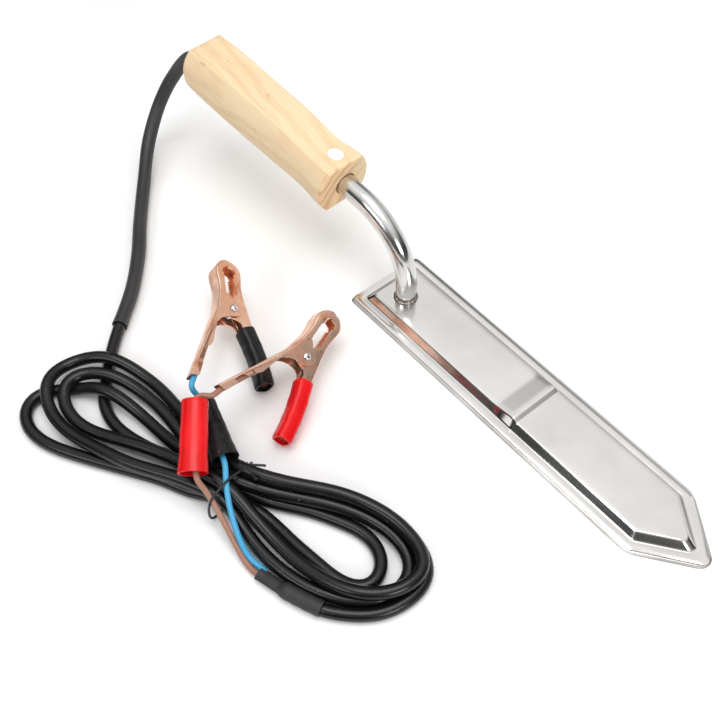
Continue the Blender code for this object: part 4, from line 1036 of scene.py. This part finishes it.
def blade(plate_finish, cover_finish):
    """The cutting plate with its bevelled edge, and the pressed cover over the heater."""
    shapes = [(0.0, 0.0, 0.0, 3.0, 14.0, 6.5, 0.0), (0.0, 0.0, 0.0, 3.0, 14.0, 6.5, 0.22),
              (0.15, 0.08, 0.15, 3.0, 14.0, 6.5, 0.34), (1.1, 0.35, 1.1, 2.6, 13.6, 6.0, 0.95),
              (1.25, 0.5, 1.25, 2.5, 13.5, 5.9, 1.0)]
    rings = [[(x, y, z) for x, y in blade_outline(*shape)] for *shape, z in shapes]
    piece("cutting_plate", *loft(rings), plate_finish, "knife", "blade_steel", ("blade_plate",), sharp=20)

    outer, inner = cover_rings(0.0), cover_rings(SHEET)
    rings = list(reversed(inner)) + outer
    verts, faces = loft(rings)
    faces = faces[:-2]
    count = len(outer[0])
    columns = 9
    for start in (0, len(verts) - count):
        rows = []
        for i in range(count // 2):
            left, right = Vector(verts[start + i]), Vector(verts[start + count - 1 - i])
            row = [start + i]
            for c in range(1, columns):
                row.append(len(verts))
                verts.append(tuple(left.lerp(right, c / columns)))
            rows.append(row + [start + count - 1 - i])
        for a, b in zip(rows, rows[1:]):
            for c in range(columns):
                faces.append((a[c], a[c + 1], b[c + 1], b[c]))
        tip = start + count // 2
        faces += [(rows[-1][c], rows[-1][c + 1], tip) for c in range(columns)]
    cover = piece("tray_cover", verts, faces, cover_finish, "knife", "tray_steel", ("blade_cover",), sharp=40)
    reach = TUBE_RADIUS + 0.1
    hole = [[(TUBE_FOOT[0] + reach * math.cos(t), TUBE_FOOT[1] + reach * math.sin(t), z)
             for t in np.linspace(0, 2 * math.pi, 64, endpoint=False)] for z in (3.0, 9.0)]
    drill(cover, *loft(hole))


def drill(target, verts, faces):
    """Cut the given solid out of a piece."""
    tool = bpy.data.objects.new("drill", solid_mesh("drill", verts, faces))
    bpy.context.scene.collection.objects.link(tool)
    modifier = target.modifiers.new("hole", "BOOLEAN")
    modifier.operation = "DIFFERENCE"
    modifier.solver = "EXACT"
    modifier.object = tool
    bpy.context.view_layer.update()
    graph = bpy.context.evaluated_depsgraph_get()
    done = bpy.data.meshes.new_from_object(target.evaluated_get(graph))
    target.modifiers.clear()
    target.data = done
    bpy.data.objects.remove(tool)


# ---------------------------------------------------------------- neck and handle
BEND_RADIUS = 40.2
BEND_ANGLE = math.radians(83.7)
BEND_YAW = math.radians(2.72)
TUBE_RISE = 10.0
TUBE_STRAIGHT = 13.2
TUBE_INSERT = 28.0
TUBE_BORE = 4.9
HANDLE_LENGTH = 120.2
HANDLE_OFFSET = (-1.0, 0.6)
HOLE_RADIUS = 6.4
CAVITY_RADIUS = 5.5
ENTRY_RADIUS = 4.35
ENTRY_DEPTH = 24.0
ENTRY_DROP = 4.0
SIDE_AXIS = Vector((-math.sin(BEND_YAW), math.cos(BEND_YAW), 0))
BACK_AXIS = Vector((-math.cos(BEND_YAW), -math.sin(BEND_YAW), 0))


def neck_path():
    """Centre points and directions along the neck, from its foot to its end in the handle."""
    up = Vector((0, 0, 1))
    foot = Vector((*TUBE_FOOT, TRAY_TOP - SHEET))
    points = [(foot, up)] + [(foot + up * rise, up) for rise in (1.5, 3.0, 4.5, 6.0, 7.5, 9.0)]
    start = Vector((*TUBE_FOOT, TRAY_TOP + TUBE_RISE - 0.6))
    steps = 48
    for k in range(steps + 1):
        t = BEND_ANGLE * k / steps
        here = start + BACK_AXIS * (BEND_RADIUS * (1 - math.cos(t))) + up * (BEND_RADIUS * math.sin(t))
        points.append((here, BACK_AXIS * math.sin(t) + up * math.cos(t)))
    last, direction = points[-1]
    points.append((last + direction * TUBE_STRAIGHT, direction))
    points.append((last + direction * (TUBE_STRAIGHT + TUBE_INSERT), direction))
    return points


def neck(tube_finish, weld_finish):
    """The bent tube with its waisted foot, and the weld bead round it."""
    path = neck_path()

    def ring(centre, direction, radius):
        across = SIDE_AXIS.cross(direction)
        return [tuple(centre + SIDE_AXIS * (radius * math.cos(t)) + across * (radius * math.sin(t)))
                for t in np.linspace(0, 2 * math.pi, 64, endpoint=False)]

    rings = []
    for i, (centre, direction) in enumerate(path):
        rise = (centre - path[0][0]).length if i < 7 else 99.0
        rings.append(ring(centre, direction, TUBE_RADIUS - 0.75 * math.exp(-(rise / 4.2) ** 2)))
    for i, (centre, direction) in reversed(list(enumerate(path))):
        rings.append(ring(centre, direction, TUBE_BORE - (0.4 if i == 0 else 0.0)))
    verts, faces = loft(rings, closed=True)
    piece("bent_neck", verts, faces, tube_finish, "knife", "tube_steel", ("neck_tube",), sharp=60)

    rings = []
    beads = 96
    foot = TUBE_RADIUS - 0.55
    for k in range(beads):
        t = 2 * math.pi * k / beads
        swell = 1.0 + 0.05 * math.sin(9 * t) + 0.04 * math.sin(17 * t + 1.0)
        ring_points = []
        for m in range(12):
            a = math.pi * m / 11
            reach = foot + (1.45 * swell) * math.sin(a / 2) ** 1.2
            height = 1.2 * swell * math.cos(a / 2)
            ring_points.append((TUBE_FOOT[0] + reach * math.cos(t), TUBE_FOOT[1] + reach * math.sin(t),
                                TRAY_TOP + 0.05 + height))
        low = (TUBE_FOOT[0] + foot * math.cos(t), TUBE_FOOT[1] + foot * math.sin(t), TRAY_TOP + 0.05)
        rings.append(ring_points + [low])
    verts, faces = loft(rings, closed=True)
    piece("weld_bead", verts, faces, weld_finish, "knife", "weld_steel", ("neck_weld",), sharp=50)


def handle_axes():
    """The handle's front centre, its axis to the rear, and its across and up directions."""
    face, along = neck_path()[-2]
    up = along.cross(SIDE_AXIS) * -1.0
    centre = face + SIDE_AXIS * HANDLE_OFFSET[0] + up * HANDLE_OFFSET[1]
    return centre, along, SIDE_AXIS, up


# distance from the front, upper half-height, upper half-width, widest half-width, lower half-height
HANDLE_SECTIONS = [
    (0, 14.0, 11.6, 16.8, 14.4), (5, 13.8, 11.5, 17.0, 14.4), (10, 13.3, 11.2, 16.7, 13.9),
    (16, 12.6, 10.5, 15.4, 12.9), (22, 12.9, 10.3, 14.9, 12.6), (30, 13.8, 10.5, 15.0, 12.8),
    (45, 15.0, 10.6, 15.3, 13.5), (60, 15.1, 10.6, 15.7, 14.3), (75, 15.0, 10.6, 16.0, 15.0),
    (90, 14.8, 11.0, 16.1, 15.3), (105, 14.3, 11.2, 16.1, 15.3), (115, 13.6, 10.8, 16.1, 15.1),
    (120.2, 13.0, 11.0, 16.0, 14.6),
]
BELLY_HALF_WIDTH = 11.4
SECTION_BLEND = 2.2             # how far the change between two slopes is spread


def smooth_table(distance, column):
    """A smooth value between the handle's sections."""
    table = np.array(HANDLE_SECTIONS, float)
    spots = [distance - SECTION_BLEND, distance, distance + SECTION_BLEND]
    near = np.interp(spots, table[:, 0], table[:, column])
    return float(near @ np.array([0.25, 0.5, 0.25]))


def handle_section(distance, inset=0.0):
    """Handle outline at a distance from the front: flat top and belly, bulging sides."""
    top, flat, wide, belly = (smooth_table(distance, k) - inset for k in (1, 2, 3, 4))
    under = BELLY_HALF_WIDTH - inset
    side = []
    for k in range(41):
        n = top + (-belly - top) * (0.5 - 0.5 * math.cos(math.pi * k / 40))
        reach = top if n > 0 else belly
        edge = flat if n > 0 else under
        side.append((wide - (wide - edge) * (abs(n) / reach) ** 2.2, n))
    for k, soft in enumerate((0.945, 0.985)):
        side[k] = (side[k][0] * soft, side[k][1])
        side[-1 - k] = (side[-1 - k][0] * soft, side[-1 - k][1])
    cross = 8
    upper = [(side[0][0] * (2 * k / cross - 1), top) for k in range(1, cross)]
    lower = [(side[-1][0] * (1 - 2 * k / cross), -belly) for k in range(1, cross)]
    return upper + side + lower + [(-s, n) for s, n in reversed(side)]


def handle(finish):
    """The shaped wooden grip with eased ends, bored for the neck and the lead."""
    centre, along, side, up = handle_axes()
    ends = [(0.0, 0.9), (0.25, 0.45), (0.9, 0.08)]
    stations = ends + [(d, 0.0) for d in np.arange(2.0, HANDLE_LENGTH - 1.2, 1.8)]
    stations += [(HANDLE_LENGTH - d, inset) for d, inset in reversed(ends)]
    rings = []
    for distance, inset in stations:
        place = centre + along * distance
        rings.append([tuple(place + side * s + up * n) for s, n in handle_section(distance, inset)])
    axis_shift = side * -HANDLE_OFFSET[0] + up * -HANDLE_OFFSET[1]
    shelf = HANDLE_LENGTH - ENTRY_DEPTH
    bore = [(HANDLE_LENGTH, ENTRY_RADIUS + 0.35, ENTRY_DROP), (HANDLE_LENGTH - 0.4, ENTRY_RADIUS, ENTRY_DROP),
            (shelf, ENTRY_RADIUS, ENTRY_DROP), (shelf - 1, CAVITY_RADIUS, ENTRY_DROP * 0.8),
            (shelf - 14, CAVITY_RADIUS, 0.0), (TUBE_INSERT + 2, CAVITY_RADIUS, 0.0),
            (TUBE_INSERT + 1, HOLE_RADIUS, 0.0), (0.3, HOLE_RADIUS, 0.0), (0.0, HOLE_RADIUS + 0.3, 0.0)]
    outline = handle_section(0.0)
    angles = [math.atan2(n + HANDLE_OFFSET[1], s + HANDLE_OFFSET[0]) for s, n in outline]
    for distance, radius, drop in bore:
        place = centre + along * distance + axis_shift - up * drop
        rings.append([tuple(place + side * (radius * math.cos(t)) + up * (radius * math.sin(t)))
                      for t in angles])
    verts, faces = loft(rings, closed=True)
    piece("handle_grip", verts, faces, finish, "knife", "pine_wood", ("wood_handle",), sharp=28)


def handle_turn():
    """The rotation that brings the handle's axis to X, for the wood's grain."""
    _, along, side, up = handle_axes()
    return tuple(Matrix((along, side, up)).to_euler())


# ---------------------------------------------------------------- put together
def paint(node, finish):
    """Give a CAD node a finer finish."""
    for place in frame["nodes"][node].material_slots:
        place.material = finish


def main():
    camera()
    studio()
    jacket = rubber("cable_jacket", (0.003, 0.003, 0.0035), (0.007, 0.007, 0.0075), (0.20, 0.30),
                    values={"Specular IOR Level": 0.38})
    charcoal = rubber("sleeve_jacket", (0.020, 0.020, 0.021), (0.034, 0.034, 0.036), (0.42, 0.55))
    matt = rubber("shrink_black", (0.018, 0.018, 0.018), (0.032, 0.032, 0.032), (0.55, 0.70), strength=0.2)
    brown = rubber("wire_brown", (0.31, 0.145, 0.095), (0.40, 0.21, 0.145), (0.38, 0.52), specks=False)
    blue = rubber("wire_blue", (0.04, 0.31, 0.57), (0.08, 0.41, 0.67), (0.35, 0.50), specks=False)
    red_vinyl = rubber("vinyl_red", (0.64, 0.003, 0.005), (0.80, 0.006, 0.009), (0.20, 0.34), specks=False,
                       values={"Specular IOR Level": 0.32})
    black_vinyl = rubber("vinyl_black", (0.006, 0.006, 0.0065), (0.014, 0.014, 0.015), (0.22, 0.34),
                         values={"Specular IOR Level": 0.26})
    nickel = bright_steel()

    cable_piece, line = cable(jacket)
    sleeve_piece = sleeve(charcoal)
    shrink_piece = shrink(matt)
    tie_piece = tie(rubber("tie_black", (0.010, 0.010, 0.010), (0.022, 0.022, 0.022), (0.35, 0.5)))
    sheet = copper()
    wires = (("brown", "red", brown, red_vinyl), ("blue", "black", blue, black_vinyl))
    for name, colour, finish, vinyl in wires:
        parts = [boot(colour, vinyl)] + clip(colour, vinyl, sheet, nickel)
        core, points = wire(name, colour, finish)

    blade(steel("blade_steel", (0.48, 0.465, 0.45), (0.65, 0.63, 0.61), (0.20, 0.32), 0.10, 0.04),
          steel("tray_steel", (0.70, 0.68, 0.66), (0.82, 0.80, 0.78), (0.09, 0.15), 0.05, 0.10))
    neck(tube_metal(), weld_metal())
    front = (handle_axes()[0] + HEEL) * MM
    handle(pine(handle_turn(), tuple(front)))

    paint("handle_sticker", mineral("sticker_paper", (0.84, 0.87, 0.90), (0.95, 0.96, 0.97), 900.0, 0.35))
    mica = mineral("mica", (0.42, 0.33, 0.20), (0.72, 0.62, 0.45), 300.0, 0.35)
    paint("heater_mica_lower", mica)
    paint("heater_mica_upper", mica)
    paint("heater_core", mineral("heater_ribbon", (0.28, 0.25, 0.22), (0.50, 0.46, 0.40), 500.0, 0.4))
    woven = mineral("lead_sleeving", (0.70, 0.68, 0.62), (0.90, 0.89, 0.85), 1400.0, 0.6)
    for side in ("a", "b"):
        paint(f"heater_lead_{side}", woven)
        paint(f"splice_{side}", nickel)
    paint("cable_core_a", brown)
    paint("cable_core_b", blue)


main()
